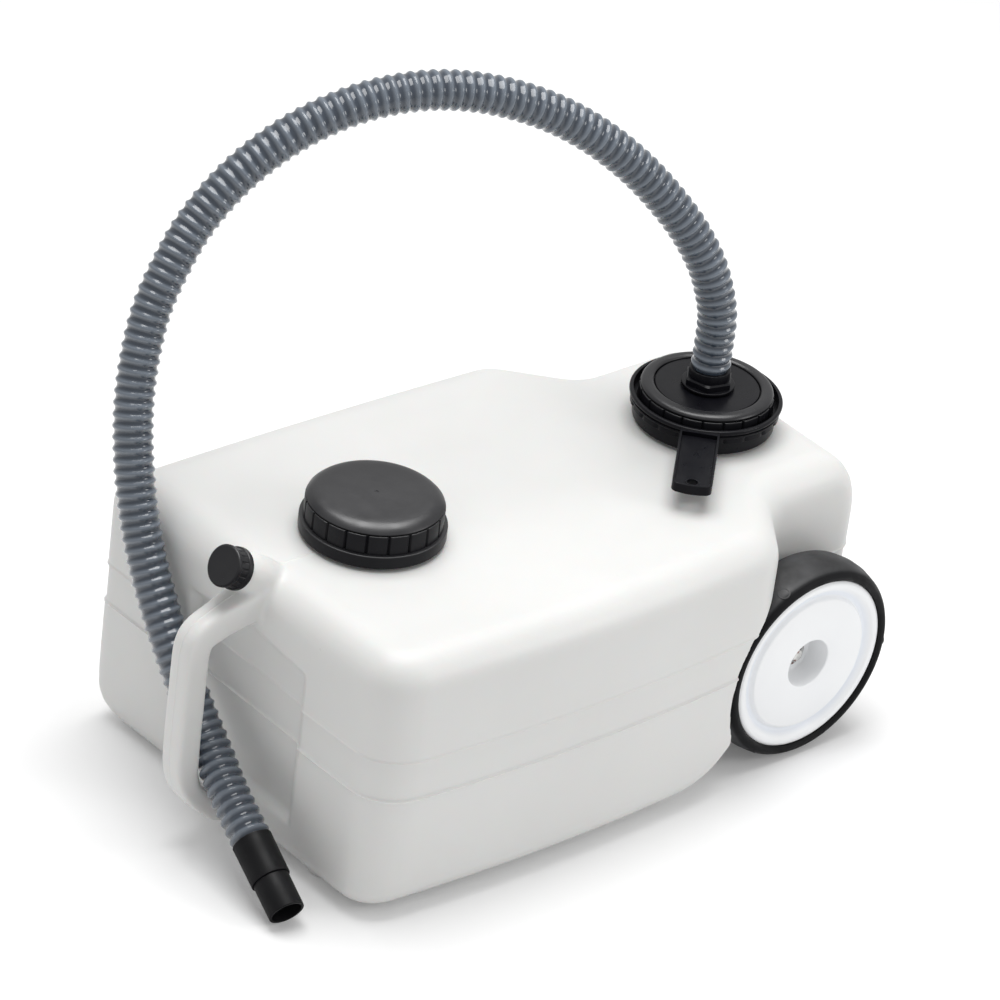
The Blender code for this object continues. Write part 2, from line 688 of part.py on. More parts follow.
def skirt_profile(shoulder):
    """The outside of both screw caps, from the shoulder down, and back up to the seat on the seal."""
    return [
        (CAP_SHOULDER, shoulder), (CAP_UNDERCUT, SKIRT_TOP + CAP_UNDERCUT_HEIGHT),
        (CAP_UNDERCUT, SKIRT_TOP + SEAT_GAP), (SKIRT_RADIUS, SKIRT_TOP), (SKIRT_RADIUS, COLLAR_TOP),
        (COLLAR_RADIUS, COLLAR_TOP), (COLLAR_RADIUS, CAP_BASE),
        (COLLAR_RADIUS - COLLAR_WALL, CAP_BASE),
        (COLLAR_RADIUS - COLLAR_WALL, COLLAR_TOP - COLLAR_WALL), (CAP_BORE, COLLAR_TOP - COLLAR_WALL)]


def filler_cap():
    profile = [(0, CAP_TOP - CAP_CROWN), (CAP_SHOULDER - CAP_TOP_EDGE, CAP_TOP - CAP_CROWN / 2),
               (CAP_SHOULDER - CAP_TOP_EDGE / 2, CAP_TOP - EDGE_BREAK),
               (CAP_SHOULDER - EDGE_BREAK, CAP_TOP - 0.6 * CAP_SHOULDER_DROP)]
    profile += skirt_profile(CAP_TOP - CAP_SHOULDER_DROP)
    inside = CAP_TOP - CAP_TOP_WALL
    profile += [(CAP_BORE, CAP_SEAT), (NECK_BORE, CAP_SEAT), (NECK_BORE - 2 * EDGE_BREAK, inside), (0, inside)]
    cap = turned("filler_cap", profile, 2 * RIB_COUNT, BLACK, closed=False)
    cap.location = (FILLER_X, 0, 0)
    add_boolean(cap, groove_cutter("filler_cap_grooves", FILLER_X))


def outlet_cap_ring():
    bead = [(RING_BORE, RING_TOP - BEAD_DROP), (RING_BORE + EDGE_BREAK, RING_TOP - EDGE_BREAK / 2),
            (RING_BORE + BEAD_WIDTH, RING_TOP), (CAP_SHOULDER - 3 * EDGE_BREAK, RING_TOP - EDGE_BREAK)]
    profile = bead + skirt_profile(RING_TOP - RING_SHOULDER_DROP)
    lip = SLIP_RING_TOP + SEAT_GAP
    profile += [(CAP_BORE, lip), (RING_BORE, lip)]
    ring = turned("outlet_cap_ring", profile, 2 * RIB_COUNT, BLACK)
    ring.location = (OUTLET_X, 0, 0)
    add_boolean(ring, groove_cutter("outlet_ring_grooves", OUTLET_X))


def flat_ring(name, inner, outer, low, high, x, look, steps=24):
    ring = turned(name, [(inner, high), (outer, high), (outer, low), (inner, low)], steps, look)
    ring.location = (x, 0, 0)
    return ring


def seals():
    inner = NECK_BORE + 0.0005
    low = NECK_RIM + SEAT_GAP
    flat_ring("filler_cap_seal", inner, NECK_RADIUS, low, SEAL_TOP, FILLER_X, SEAL_RUBBER)
    flat_ring("outlet_disc_seal", inner, NECK_RADIUS, low, SEAL_TOP, OUTLET_X, SEAL_RUBBER)
    flat_ring("outlet_slip_ring", RING_BORE, NECK_RADIUS, DISC_FLANGE_TOP + SEAT_GAP, SLIP_RING_TOP,
              OUTLET_X, BLACK)


def outlet_disc():
    hole = FITTING_STEM_RADIUS + STEM_CLEARANCE
    raised = RING_BORE - RIM_CLEARANCE
    profile = [(hole, DISC_TOP), (raised - EDGE_BREAK, DISC_TOP), (raised, DISC_TOP - EDGE_BREAK),
               (raised, DISC_FLANGE_TOP), (NECK_RADIUS, DISC_FLANGE_TOP), (NECK_RADIUS, CAP_SEAT),
               (hole, CAP_SEAT)]
    disc = turned("outlet_disc", profile, 28, BLACK)
    disc.location = (OUTLET_X, 0, 0)


def hose_fitting():
    """Flange, hexagon, collar and tail in one moulding, with a stem down through the disc."""
    stem_end = FITTING_BASE - FITTING_STEM_LENGTH
    tail_end = COLLAR_END + FITTING_TAIL_LENGTH
    overlap = FITTING_HEX_HEIGHT / 2
    profile = [
        (FITTING_BORE, tail_end), (FITTING_STEM_RADIUS - FITTING_TAIL_TAPER, tail_end),
        (FITTING_STEM_RADIUS, tail_end - FITTING_TAIL_POINT), (FITTING_STEM_RADIUS, COLLAR_END),
        (FITTING_COLLAR_RADIUS, COLLAR_END), (FITTING_COLLAR_RADIUS, HEX_TOP - overlap),
        (FITTING_COLLAR_RADIUS, FITTING_BASE + FITTING_FLANGE),
        (FITTING_FLANGE_RADIUS, FITTING_BASE + FITTING_FLANGE),
        (FITTING_FLANGE_RADIUS, FITTING_BASE), (FITTING_STEM_RADIUS, FITTING_BASE),
        (FITTING_STEM_RADIUS, stem_end), (FITTING_BORE, stem_end)]
    fitting = turned("hose_fitting", profile, 20, BLACK)
    fitting.location = (OUTLET_X, 0, 0)
    low = FITTING_BASE + FITTING_FLANGE / 2
    ring = turned("fitting_hexagon", [
        (FITTING_COLLAR_RADIUS - HEXAGON_OVERLAP, HEX_TOP), (FITTING_HEX_RADIUS, HEX_TOP),
        (FITTING_HEX_RADIUS, low), (FITTING_COLLAR_RADIUS - HEXAGON_OVERLAP, low)], 6)
    ring.location = (OUTLET_X, 0, 0)
    add_boolean(fitting, ring, "UNION")
    washer_low = DISC_TOP + SEAT_GAP
    flat_ring("fitting_washer", FITTING_STEM_RADIUS + STEM_CLEARANCE, FITTING_WASHER_RADIUS,
              washer_low, washer_low + FITTING_WASHER, OUTLET_X, SEAL_RUBBER, 24)
    locknut_top = CAP_SEAT - SEAT_GAP
    locknut_low = locknut_top - LOCKNUT_HEIGHT
    middle = (OUTLET_X, 0, (locknut_low + locknut_top) / 2)
    locknut = cylinder("fitting_locknut", LOCKNUT_RADIUS, LOCKNUT_HEIGHT, 6, BLACK, middle)
    hole = cylinder("locknut_hole", FITTING_STEM_RADIUS + STEM_CLEARANCE, 2 * LOCKNUT_HEIGHT, 24,
                    None, middle)
    add_boolean(locknut, hole)


def lever_outline(inner, inset):
    """Plan of the lever along +X, with a shallow arc at its tip. The inset makes its tray."""
    half = LEVER_WIDTH / 2 - inset
    tip = LEVER_REACH - inset
    points = [(inner, -half)]
    for i in range(7):
        y = half * (2 * i / 6 - 1)
        points.append((tip - LEVER_END_SAG * (y / half) ** 2, y))
    points.append((inner, half))
    return points


def lever_slab(name, inner, inset, low, high, look=None):
    outline = lever_outline(inner, inset)
    slab = loft(name, [[(x, y, z) for x, y in outline] for z in (low, high)], look)
    slab.location = (OUTLET_X, 0, 0)
    slab.rotation_euler = (0, 0, LEVER_ANGLE)
    return slab


def cap_wrench():
    """A ring that lies round the outlet cap on its collar, with a flat lever."""
    low = COLLAR_TOP + SEAT_GAP
    top = low + WRENCH_HEIGHT
    inner = WRENCH_LIP_RADIUS - WRENCH_WALL - WRENCH_LIP_INWARD
    profile = [
        (inner, top), (WRENCH_LIP_RADIUS, top), (WRENCH_LIP_RADIUS, top - WRENCH_LIP_HEIGHT),
        (WRENCH_FOOT_RADIUS, low + WRENCH_HEM), (COLLAR_RADIUS, low), (SKIRT_RADIUS + RIM_CLEARANCE, low),
        (SKIRT_RADIUS + RIM_CLEARANCE, low + WRENCH_LEDGE), (inner, low + WRENCH_LEDGE)]
    wrench = turned("cap_wrench", profile, 40, BLACK)
    wrench.location = (OUTLET_X, 0, 0)
    lever_top = top - EDGE_BREAK
    lever_low = lever_top - LEVER_THICKNESS
    start = WRENCH_LIP_RADIUS - WRENCH_WALL
    slab = lever_slab("wrench_lever", start, 0.0, lever_low, lever_top)
    add_boolean(wrench, slab, "UNION")
    tray = lever_slab("lever_tray", WRENCH_LIP_RADIUS + LEVER_BORDER, LEVER_BORDER,
                      lever_top - LEVER_TRAY, lever_top + LEVER_TRAY)
    add_boolean(wrench, tray)
    hole_x = LEVER_REACH - LEVER_HOLE_INSET
    place = (OUTLET_X + hole_x * math.cos(LEVER_ANGLE), hole_x * math.sin(LEVER_ANGLE), lever_low)
    add_boolean(wrench, cylinder("lever_hole", LEVER_HOLE_RADIUS, 4 * LEVER_THICKNESS, 16, None, place))


def vent_cap():
    bore = VENT_SPOUT_RADIUS + VENT_THREAD_CLEARANCE
    profile = [
        (0, 0), (VENT_CAP_RADIUS - EDGE_BREAK, 0), (VENT_CAP_RADIUS, -EDGE_BREAK),
        (VENT_CAP_RADIUS, VENT_CAP_RING_HEIGHT - VENT_CAP_LENGTH),
        (VENT_CAP_RING, VENT_CAP_RING_HEIGHT - VENT_CAP_LENGTH), (VENT_CAP_RING, -VENT_CAP_LENGTH),
        (bore, -VENT_CAP_LENGTH), (bore, -VENT_CAP_TOP), (0, -VENT_CAP_TOP)]
    cap = turned("vent_cap", profile, 24, BLACK, closed=False)
    place_on_vent(cap)
    seal_face = -VENT_CAP_TOP - SEAT_GAP
    seal = turned("vent_cap_seal", [
        (0, seal_face), (VENT_SPOUT_RADIUS, seal_face), (VENT_SPOUT_RADIUS, seal_face - VENT_SEAL),
        (0, seal_face - VENT_SEAL)], 20, SEAL_RUBBER, closed=False)
    place_on_vent(seal)


def on_axle(obj, side):
    """Turn an object so that its local +Z points outward along the axle on one side."""
    obj.location = (AXLE_X, 0, WHEEL_RADIUS)
    obj.rotation_euler = (-side * math.pi / 2, 0, 0)


def wheel(side, word):
    disc_y = RIM_OUTER_Y - RIM_DISC_DROP
    lip = RIM_RADIUS - RIM_LIP_WIDTH
    groove = lip - RIM_GROOVE_SLOPE - RIM_GROOVE_WIDTH
    barrel = RIM_RADIUS - RIM_BARREL
    web_y = disc_y - RIM_GROOVE_DEPTH - RIM_WEB
    cup = HUB_RECESS_RADIUS + HUB_WALL
    cup_y = HUB_FLOOR_Y - HUB_WALL
    rim = turned("wheel_rim_" + word, [
        (AXLE_BORE, HUB_FLOOR_Y), (HUB_RECESS_RADIUS, HUB_FLOOR_Y), (HUB_RECESS_RADIUS, disc_y),
        (groove, disc_y), (groove, disc_y - RIM_GROOVE_DEPTH),
        (lip - RIM_GROOVE_SLOPE, disc_y - RIM_GROOVE_DEPTH),
        (lip, RIM_OUTER_Y), (RIM_RADIUS, RIM_OUTER_Y), (RIM_RADIUS, WHEEL_INNER_Y + RIM_INSET),
        (barrel, WHEEL_INNER_Y + RIM_INSET), (barrel, web_y), (cup, web_y), (cup, cup_y),
        (HUB_RADIUS, cup_y), (HUB_RADIUS, HUB_INNER_Y), (AXLE_BORE, HUB_INNER_Y)], 28, RIM_WHITE)
    on_axle(rim, side)
    inside = RIM_RADIUS + SEAT_GAP
    middle = (WHEEL_INNER_Y + WHEEL_OUTER_Y) / 2
    shoulder = WHEEL_RADIUS - TYRE_CROWN
    tyre = turned("tyre_" + word, [
        (inside, WHEEL_OUTER_Y - TYRE_BEAD), (inside + TYRE_BEAD, WHEEL_OUTER_Y),
        (shoulder - TYRE_SHOULDER, WHEEL_OUTER_Y), (shoulder, WHEEL_OUTER_Y - TYRE_SHOULDER),
        (WHEEL_RADIUS, middle), (shoulder, WHEEL_INNER_Y + TYRE_SHOULDER),
        (shoulder - TYRE_SHOULDER, WHEEL_INNER_Y), (inside + TYRE_BEAD, WHEEL_INNER_Y),
        (inside, WHEEL_INNER_Y + TYRE_BEAD)], 36, RUBBER)
    on_axle(tyre, side)


def axle_hardware(side, word):
    """What holds a wheel on the axle: a spacer inside it, a washer and a star lock washer outside."""
    spacer = flat_ring("inner_spacer_" + word, AXLE_BORE, SPACER_RADIUS, WELL_INNER_Y + SEAT_GAP,
                       HUB_INNER_Y - SEAT_GAP, 0, BLACK, 16)
    on_axle(spacer, side)
    washer_low = HUB_FLOOR_Y + SEAT_GAP
    washer_high = washer_low + OUTER_WASHER
    washer = flat_ring("outer_washer_" + word, AXLE_BORE, OUTER_WASHER_RADIUS, washer_low, washer_high,
                       0, STEEL, 16)
    on_axle(washer, side)
    nut_low = washer_high + SEAT_GAP
    nut_high = nut_low + PUSH_NUT_HEIGHT
    nut = turned("push_nut_" + word, [
        (AXLE_BORE, nut_high), (PUSH_NUT_FLAT_SHARE * PUSH_NUT_RADIUS, nut_high),
        (PUSH_NUT_RADIUS, nut_low + PUSH_NUT_METAL), (PUSH_NUT_RADIUS, nut_low),
        (PUSH_NUT_RADIUS - PUSH_NUT_METAL, nut_low), (AXLE_BORE, nut_high - PUSH_NUT_METAL)],
        2 * PUSH_NUT_TEETH, STEEL)
    on_axle(nut, side)


def axle():
    rod = cylinder("axle", AXLE_RADIUS, 2 * AXLE_END, 20, STEEL, (AXLE_X, 0, WHEEL_RADIUS), "Y")
    rod.rotation_euler = (math.pi / 2, 0, 0)


def hose():
    run = 2 * HOSE_RIB_RADIUS + HOSE_STRAIGHT_EXTRA
    route = [HOSE_START, HOSE_START + Vector((0, 0, run))]
    route += [Vector(p) for p in HOSE_ROUTE]
    route += [HOSE_END - HOSE_END_DIRECTION * run, HOSE_END]
    path = smooth_path(route, 12)
    length = even_points(path, 2)[1]
    ribs = round(length / HOSE_RIB_PITCH)
    places, length = even_points(path, 2 * ribs + 1)
    radii = [HOSE_BODY_RADIUS if i % 2 == 0 else HOSE_RIB_RADIUS for i in range(2 * ribs + 1)]
    solid = tube("hose", places, radii, 2, HOSE_GREY)
    bore_places, _ = even_points(path, ribs // 4 + 1)
    bore_places[0] = bore_places[0] - Vector((0, 0, CUT_OVERRUN))
    bore_places[-1] = bore_places[-1] + HOSE_END_DIRECTION * CUT_OVERRUN
    bore = tube("hose_bore", bore_places, [HOSE_BORE] * len(bore_places), 2)
    add_boolean(solid, bore)
    print("hose length", round(length, 4), "ribs", ribs)


def along_end(obj, distance):
    """Stand an object on the line of the hose's end, with its +Z pointing away from the hose."""
    obj.location = HOSE_END + HOSE_END_DIRECTION * distance
    obj.rotation_euler = HOSE_END_DIRECTION.to_track_quat("Z", "Y").to_euler()


def hose_connector():
    sleeve_end = SEAT_GAP + SLEEVE_LENGTH
    sleeve = turned("hose_end_sleeve", [
        (SLEEVE_BORE, sleeve_end), (SLEEVE_RADIUS, sleeve_end), (SLEEVE_RADIUS, SEAT_GAP),
        (SLEEVE_BORE, SEAT_GAP)], 24, BLACK)
    along_end(sleeve, 0.0)
    start = sleeve_end + SEAT_GAP
    end = start + NOZZLE_LENGTH
    nozzle = turned("hose_end_nozzle", [
        (NOZZLE_BORE, end), (NOZZLE_RADIUS, end), (NOZZLE_RADIUS, start), (NOZZLE_BORE, start)],
        24, BLACK)
    along_end(nozzle, 0.0)


def build():
    tank_body()
    filler_cap()
    outlet_cap_ring()
    seals()
    outlet_disc()
    hose_fitting()
    cap_wrench()
    vent_cap()
    for side, word in ((-1, "left"), (1, "right")):
        wheel(side, word)
        axle_hardware(side, word)
    axle()
    hose()
    hose_connector()


build()
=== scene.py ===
from math import atan2, copysign, cos, hypot, pi, radians, sin, sqrt, tau

import bmesh
import bpy
import numpy as np
from mathutils import Matrix, Vector


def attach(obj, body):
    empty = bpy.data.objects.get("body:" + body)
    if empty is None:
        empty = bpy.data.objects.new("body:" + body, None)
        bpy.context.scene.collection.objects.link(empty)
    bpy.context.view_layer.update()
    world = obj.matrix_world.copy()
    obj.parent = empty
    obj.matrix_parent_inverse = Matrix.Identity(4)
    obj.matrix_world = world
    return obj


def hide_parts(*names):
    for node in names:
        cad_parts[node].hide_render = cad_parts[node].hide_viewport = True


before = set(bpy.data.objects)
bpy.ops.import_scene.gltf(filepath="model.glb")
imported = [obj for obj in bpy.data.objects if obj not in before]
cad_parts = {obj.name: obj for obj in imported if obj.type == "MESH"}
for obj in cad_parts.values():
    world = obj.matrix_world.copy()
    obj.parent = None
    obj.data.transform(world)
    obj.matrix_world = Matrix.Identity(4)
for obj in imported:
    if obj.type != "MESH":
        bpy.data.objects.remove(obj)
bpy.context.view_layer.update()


def in_scene(name, data):
    obj = bpy.data.objects.new(name, data)
    bpy.context.scene.collection.objects.link(obj)
    return obj


# -------- camera


def make_camera():
    """The photograph's camera: a long lens, tilted a little to one side."""
    right = Vector((0.7641, -0.6353, 0.1118))
    up = Vector((0.2608, 0.4629, 0.8471))
    back = Vector((-0.5900, -0.6182, 0.5194))
    data = bpy.data.cameras.new("camera")
    data.lens = 199.6
    data.sensor_width = 36.0
    data.clip_start = 0.5
    data.clip_end = 60.0
    camera = in_scene("camera", data)
    turn = Matrix((right, up, back)).transposed().to_4x4()
    camera.matrix_world = Matrix.Translation((-2.4835, -2.6073, 2.4055)) @ turn
    bpy.context.scene.camera = camera


make_camera()

# Sizes in metres, most of them shared with the CAD model
SEAT_GAP = 0.0003
TANK_TOP = 0.225
TANK_FLOOR = 0.005
FAR_END_X = -0.237
NEAR_END_X = -0.230
END_X = (FAR_END_X + NEAR_END_X) / 2
TAIL_X = 0.297
SIDE_HALF = 0.164
BULGE = 0.009
TAIL_CORNER = 0.022
WAIST_INNER_ROUND = 0.030
WAIST_OUTER_ROUND = 0.038
TOP_ROUND = 0.0285
TAIL_TOP_DEPTH = 0.042
TAIL_TOP_HEIGHT = 0.053
SIDE_FOOT_ROUND = 0.028
WAIST_FOOT_HEIGHT = 0.080
WAIST_FOOT_DEPTH = 0.104
FAR_PLAN = {
    "end_x": FAR_END_X, "corner": 0.010, "foot_height": 0.060, "foot_depth": 0.013, "draft": 0.0,
    "tail_half": 0.111, "waist_x": 0.176, "waist_turn": radians(45), "bulge_x": -0.150,
    "bulge_reach": 0.300,
}
NEAR_PLAN = {
    "end_x": NEAR_END_X, "corner": 0.036, "foot_height": 0.024, "foot_depth": 0.0235, "draft": 0.0035,
    "tail_half": 0.104, "waist_x": 0.194, "waist_turn": radians(36), "bulge_x": -0.027,
    "bulge_reach": 0.178,
}
BAND_LOW = 0.1077
BAND_HIGH = 0.141
BAND_INSET = 0.0013
RECESS_HALF = 0.065
RECESS_LOW = 0.043
RECESS_HIGH = 0.170
RECESS_DEPTH = 0.007
GRIP_REACH = 0.0525
FILLER_X = -0.122
OUTLET_X = 0.210
NECK_RIM = TANK_TOP + 0.0242
NECK_RADIUS = 0.0466
NECK_BORE = 0.040
CAP_BASE = TANK_TOP + 0.003
COLLAR_RADIUS = 0.056
COLLAR_TOP = CAP_BASE + 0.0105
SKIRT_RADIUS = 0.053
SKIRT_TOP = COLLAR_TOP + 0.0155
CAP_TOP = CAP_BASE + 0.034
CAP_SHOULDER = 0.052
CAP_UNDERCUT = 0.0495
CAP_BORE = NECK_RADIUS + 0.0006
SEAL_TOP = NECK_RIM + SEAT_GAP + 0.002
CAP_SEAT = SEAL_TOP + SEAT_GAP
RIB_COUNT = 20
RING_BORE = 0.042
RING_TOP = CAP_BASE + 0.0310
DISC_TOP = RING_TOP - 0.0018
FITTING_BASE = DISC_TOP + 0.0018
HEX_TOP = FITTING_BASE + 0.0075
HOSE_START = Vector((OUTLET_X, 0, 0.274))
LEVER_ANGLE = radians(224)
LEVER_REACH = 0.142
LEVER_WIDTH = 0.031
WRENCH_LIP_RADIUS = 0.0605
WRENCH_FOOT_RADIUS = 0.0592
WRENCH_LOW = COLLAR_TOP + SEAT_GAP
WRENCH_TOP = WRENCH_LOW + 0.0118
VENT_TILT = radians(28)
VENT_FACE = Vector((END_X - 0.030, 0, TANK_TOP + 0.016))
VENT_CAP_RADIUS = 0.0155
VENT_CAP_LENGTH = 0.016
AXLE_X = 0.2105
WHEEL_RADIUS = 0.0848
WHEEL_INNER_Y = 0.1142
WHEEL_OUTER_Y = 0.1562
WELL_INNER_Y = 0.1045
WELL_RADIUS = WHEEL_RADIUS + 0.0067
RIM_RADIUS = WHEEL_RADIUS - 0.0117
RIM_OUTER_Y = WHEEL_OUTER_Y - 0.0018
HUB_RECESS_RADIUS = 0.0205
HUB_FLOOR_Y = RIM_OUTER_Y - 0.022
AXLE_RADIUS = 0.005
AXLE_BORE = 0.0054
AXLE_END_Y = 0.1407
PAST_SIDE = 0.20
VENT_BORE = 0.008
VENT_BORE_DEPTH = 0.05
LEVER_CORNER = 0.0055
LEVER_CROWN = 0.003
LEVER_HOLE = 0.0042
LEVER_HOLE_X = LEVER_REACH - 0.010
DISC_FLANGE = CAP_SEAT + 0.0022
SEAM_HEIGHT = 0.0011
SEAM_HALF = 0.0013
MOULD_LINE_HEIGHT = 0.0005
MOULD_LINE_HALF = 0.0009
THREAD_PITCH = 0.006
THREAD_DEPTH = 0.0011

# The hose, as in the CAD model
HOSE_RIB_RADIUS = 0.01575
HOSE_BODY_RADIUS = 0.0140
HOSE_BORE = 0.0123
HOSE_RIB_PITCH = 0.00845
HOSE_ROUTE = [
    (0.2024, 0.0063, 0.3527), (0.1868, 0.0175, 0.3882), (0.1660, 0.0312, 0.4191),
    (0.1419, 0.0450, 0.4469), (0.1136, 0.0591, 0.4717), (0.0830, 0.0733, 0.4915),
    (0.0497, 0.0874, 0.5063), (0.0161, 0.1011, 0.5153), (-0.0180, 0.1129, 0.5189),
    (-0.0520, 0.1245, 0.5157), (-0.0832, 0.1348, 0.5069), (-0.1138, 0.1441, 0.4928),
    (-0.1414, 0.1519, 0.4740), (-0.1667, 0.1566, 0.4524), (-0.1896, 0.1597, 0.4254),
    (-0.2082, 0.1587, 0.3977), (-0.2237, 0.1569, 0.3672), (-0.2353, 0.1513, 0.3350),
    (-0.2437, 0.1437, 0.3030), (-0.2494, 0.1335, 0.2711), (-0.2526, 0.1217, 0.2386),
    (-0.2540, 0.1080, 0.2060), (-0.2540, 0.0920, 0.1755), (-0.2535, 0.0730, 0.1470),
    (-0.2530, 0.0520, 0.1204), (-0.2535, 0.0280, 0.0962), (-0.2555, 0.0020, 0.0755),
]
HOSE_END = Vector((-0.2688, -0.0705, 0.0400))
HOSE_END_DIRECTION = Vector((-0.134, -0.898, -0.417)).normalized()

# -------- materials


class Look:
    """A node material with the few nodes that these finishes share."""

    def __init__(self, name, roughness, metallic=0.0):
        self.material = bpy.data.materials.new(name)
        self.material.use_nodes = True
        self.tree = self.material.node_tree
        self.shader = self.tree.nodes["Principled BSDF"]
        self.shader.inputs["Metallic"].default_value = metallic
        self.shader.inputs["Roughness"].default_value = roughness
        self.place = self.tree.nodes.new("ShaderNodeTexCoord").outputs["Object"]

    def link(self, a, b):
        self.tree.links.new(a, b)

    def noise(self, scale, detail):
        node = self.tree.nodes.new("ShaderNodeTexNoise")
        node.inputs["Scale"].default_value = scale
        node.inputs["Detail"].default_value = detail
        self.link(self.place, node.inputs["Vector"])
        return node.outputs["Fac"]

    def clouds(self, scale, detail, dark, light, high=0.7):
        """A colour that drifts between two."""
        value = self.noise(scale, detail)
        node = self.tree.nodes.new("ShaderNodeValToRGB")
        for stop, position, colour in zip(node.color_ramp.elements, (0.3, high), (dark, light)):
            stop.position = position
            stop.color = (*colour, 1)
        self.link(value, node.inputs["Fac"])
        return node.outputs["Color"]

    def span(self, value, low, high, to_low, to_high):
        node = self.tree.nodes.new("ShaderNodeMapRange")
        for name, number in (("From Min", low), ("From Max", high), ("To Min", to_low), ("To Max", to_high)):
            node.inputs[name].default_value = number
        self.link(value, node.inputs["Value"])
        return node.outputs["Result"]

    def mix(self, factor, a, b, blend="MIX"):
        node = self.tree.nodes.new("ShaderNodeMix")
        node.data_type = "RGBA"
        node.blend_type = blend
        for value, socket in ((factor, node.inputs["Factor"]), (a, node.inputs["A"]), (b, node.inputs["B"])):
            if isinstance(value, (int, float)):
                socket.default_value = value
            elif isinstance(value, tuple):
                socket.default_value = (*value, 1)
            else:
                self.link(value, socket)
        return node.outputs["Result"]

    def attribute(self, name):
        node = self.tree.nodes.new("ShaderNodeAttribute")
        node.attribute_name = name
        return node.outputs["Fac"]

    def facing_up(self):
        geometry = self.tree.nodes.new("ShaderNodeNewGeometry")
        split = self.tree.nodes.new("ShaderNodeSeparateXYZ")
        self.link(geometry.outputs["Normal"], split.inputs["Vector"])
        return split.outputs["Z"]

    def bump(self, scale, detail, strength, distance, below=None):
        height = self.noise(scale, detail)
        node = self.tree.nodes.new("ShaderNodeBump")
        node.inputs["Strength"].default_value = strength
        node.inputs["Distance"].default_value = distance
        self.link(height, node.inputs["Height"])
        if below is not None:
            self.link(below, node.inputs["Normal"])
        return node.outputs["Normal"]

    def colour(self, value):
        self.link(value, self.shader.inputs["Base Color"])

    def specular(self, value):
        self.link(value, self.shader.inputs["Specular IOR Level"])

    def roughness(self, scale, detail, low, high):
        """Roughness that wanders between two values."""
        uneven = self.span(self.noise(scale, detail), 0.3, 0.7, low, high)
        self.link(uneven, self.shader.inputs["Roughness"])

    def normal(self, value):
        self.link(value, self.shader.inputs["Normal"])


def tank_look():
    look = Look("tank_white", 0.42)
    base = look.clouds(9.0, 3.0, (0.690, 0.690, 0.677), (0.715, 0.715, 0.703))
    specks = look.span(look.noise(170.0, 2.0), 0.775, 0.80, 0.0, 0.22)
    look.colour(look.mix(specks, base, (0.50, 0.49, 0.47)))
    look.roughness(35.0, 4.0, 0.38, 0.50)
    wave = look.bump(14.0, 2.0, 0.25, 0.0015)
    look.normal(look.bump(220.0, 3.0, 0.12, 0.0003, wave))
    look.shader.inputs["Subsurface Weight"].default_value = 0.10
    look.shader.inputs["Subsurface Scale"].default_value = 0.006
    return look.material


def rim_look():
    look = Look("rim_white", 0.22)
    base = look.clouds(18.0, 3.0, (0.90, 0.91, 0.925), (0.925, 0.935, 0.945))
    # The groove is painted a darker blue-grey: painted shade in the groove.
    look.colour(look.mix(look.attribute("groove_shade"), base, (0.84, 0.87, 0.92)))
    look.roughness(60.0, 4.0, 0.28, 0.40)
    look.normal(look.bump(25.0, 2.0, 0.06, 0.0004))
    return look.material


def black_look(name, dark, light, low, high, gloss):
    """Black plastic, glossier where it faces up."""
    look = Look(name, (low + high) / 2)
    look.specular(look.span(look.facing_up(), 0.1, 0.9, 0.10, gloss))
    look.colour(look.clouds(40.0, 4.0, dark, light))
    look.roughness(90.0, 5.0, low, high)
    wave = look.bump(45.0, 2.0, 0.15, 0.0006)
    look.normal(look.bump(1400.0, 2.0, 0.18, 0.0001, wave))
    return look.material


def rubber_look(name, dark, light):
    """Rubber, worn paler on the tread, where the tread attribute is 1."""
    look = Look(name, 0.6)
    worn = look.clouds(30.0, 5.0, dark, light, 0.75)
    tread = look.attribute("tread")
    look.colour(look.mix(tread, dark, worn))
    look.specular(look.span(tread, 0.0, 1.0, 0.15, 0.6))
    look.roughness(70.0, 5.0, 0.45, 0.68)
    look.normal(look.bump(900.0, 3.0, 0.25, 0.00015))
    return look.material


def hose_look():
    look = Look("hose_grey", 0.2)
    rib = look.attribute("rib")
    # Lighter on the ribs and darker in the valleys: partly the hose's own tone, partly painted highlight on
    # the ribs and painted shade in the valleys.
    body = look.mix(look.span(rib, 0.05, 0.75, 0.0, 1.0), (0.036, 0.048, 0.068), (0.145, 0.170, 0.205))
    cloud = look.clouds(55.0, 4.0, (0.82, 0.82, 0.82), (1.0, 1.0, 1.0))
    look.colour(look.mix(1.0, body, cloud, "MULTIPLY"))
    look.roughness(160.0, 3.0, 0.12, 0.26)
    look.normal(look.bump(160.0, 3.0, 0.25, 0.0005))
    look.shader.inputs["Coat Weight"].default_value = 0.6
    look.shader.inputs["Coat Roughness"].default_value = 0.08
    return look.material


def steel_look():
    look = Look("zinc_steel", 0.35, metallic=1.0)
    base = look.clouds(300.0, 4.0, (0.50, 0.50, 0.49), (0.72, 0.72, 0.70))
    rust = look.span(look.noise(240.0, 3.0), 0.60, 0.66, 0.0, 0.8)
    look.colour(look.mix(rust, base, (0.16, 0.035, 0.02)))
    look.roughness(500.0, 3.0, 0.25, 0.45)
    look.normal(look.bump(700.0, 2.0, 0.3, 0.0001))
    return look.material


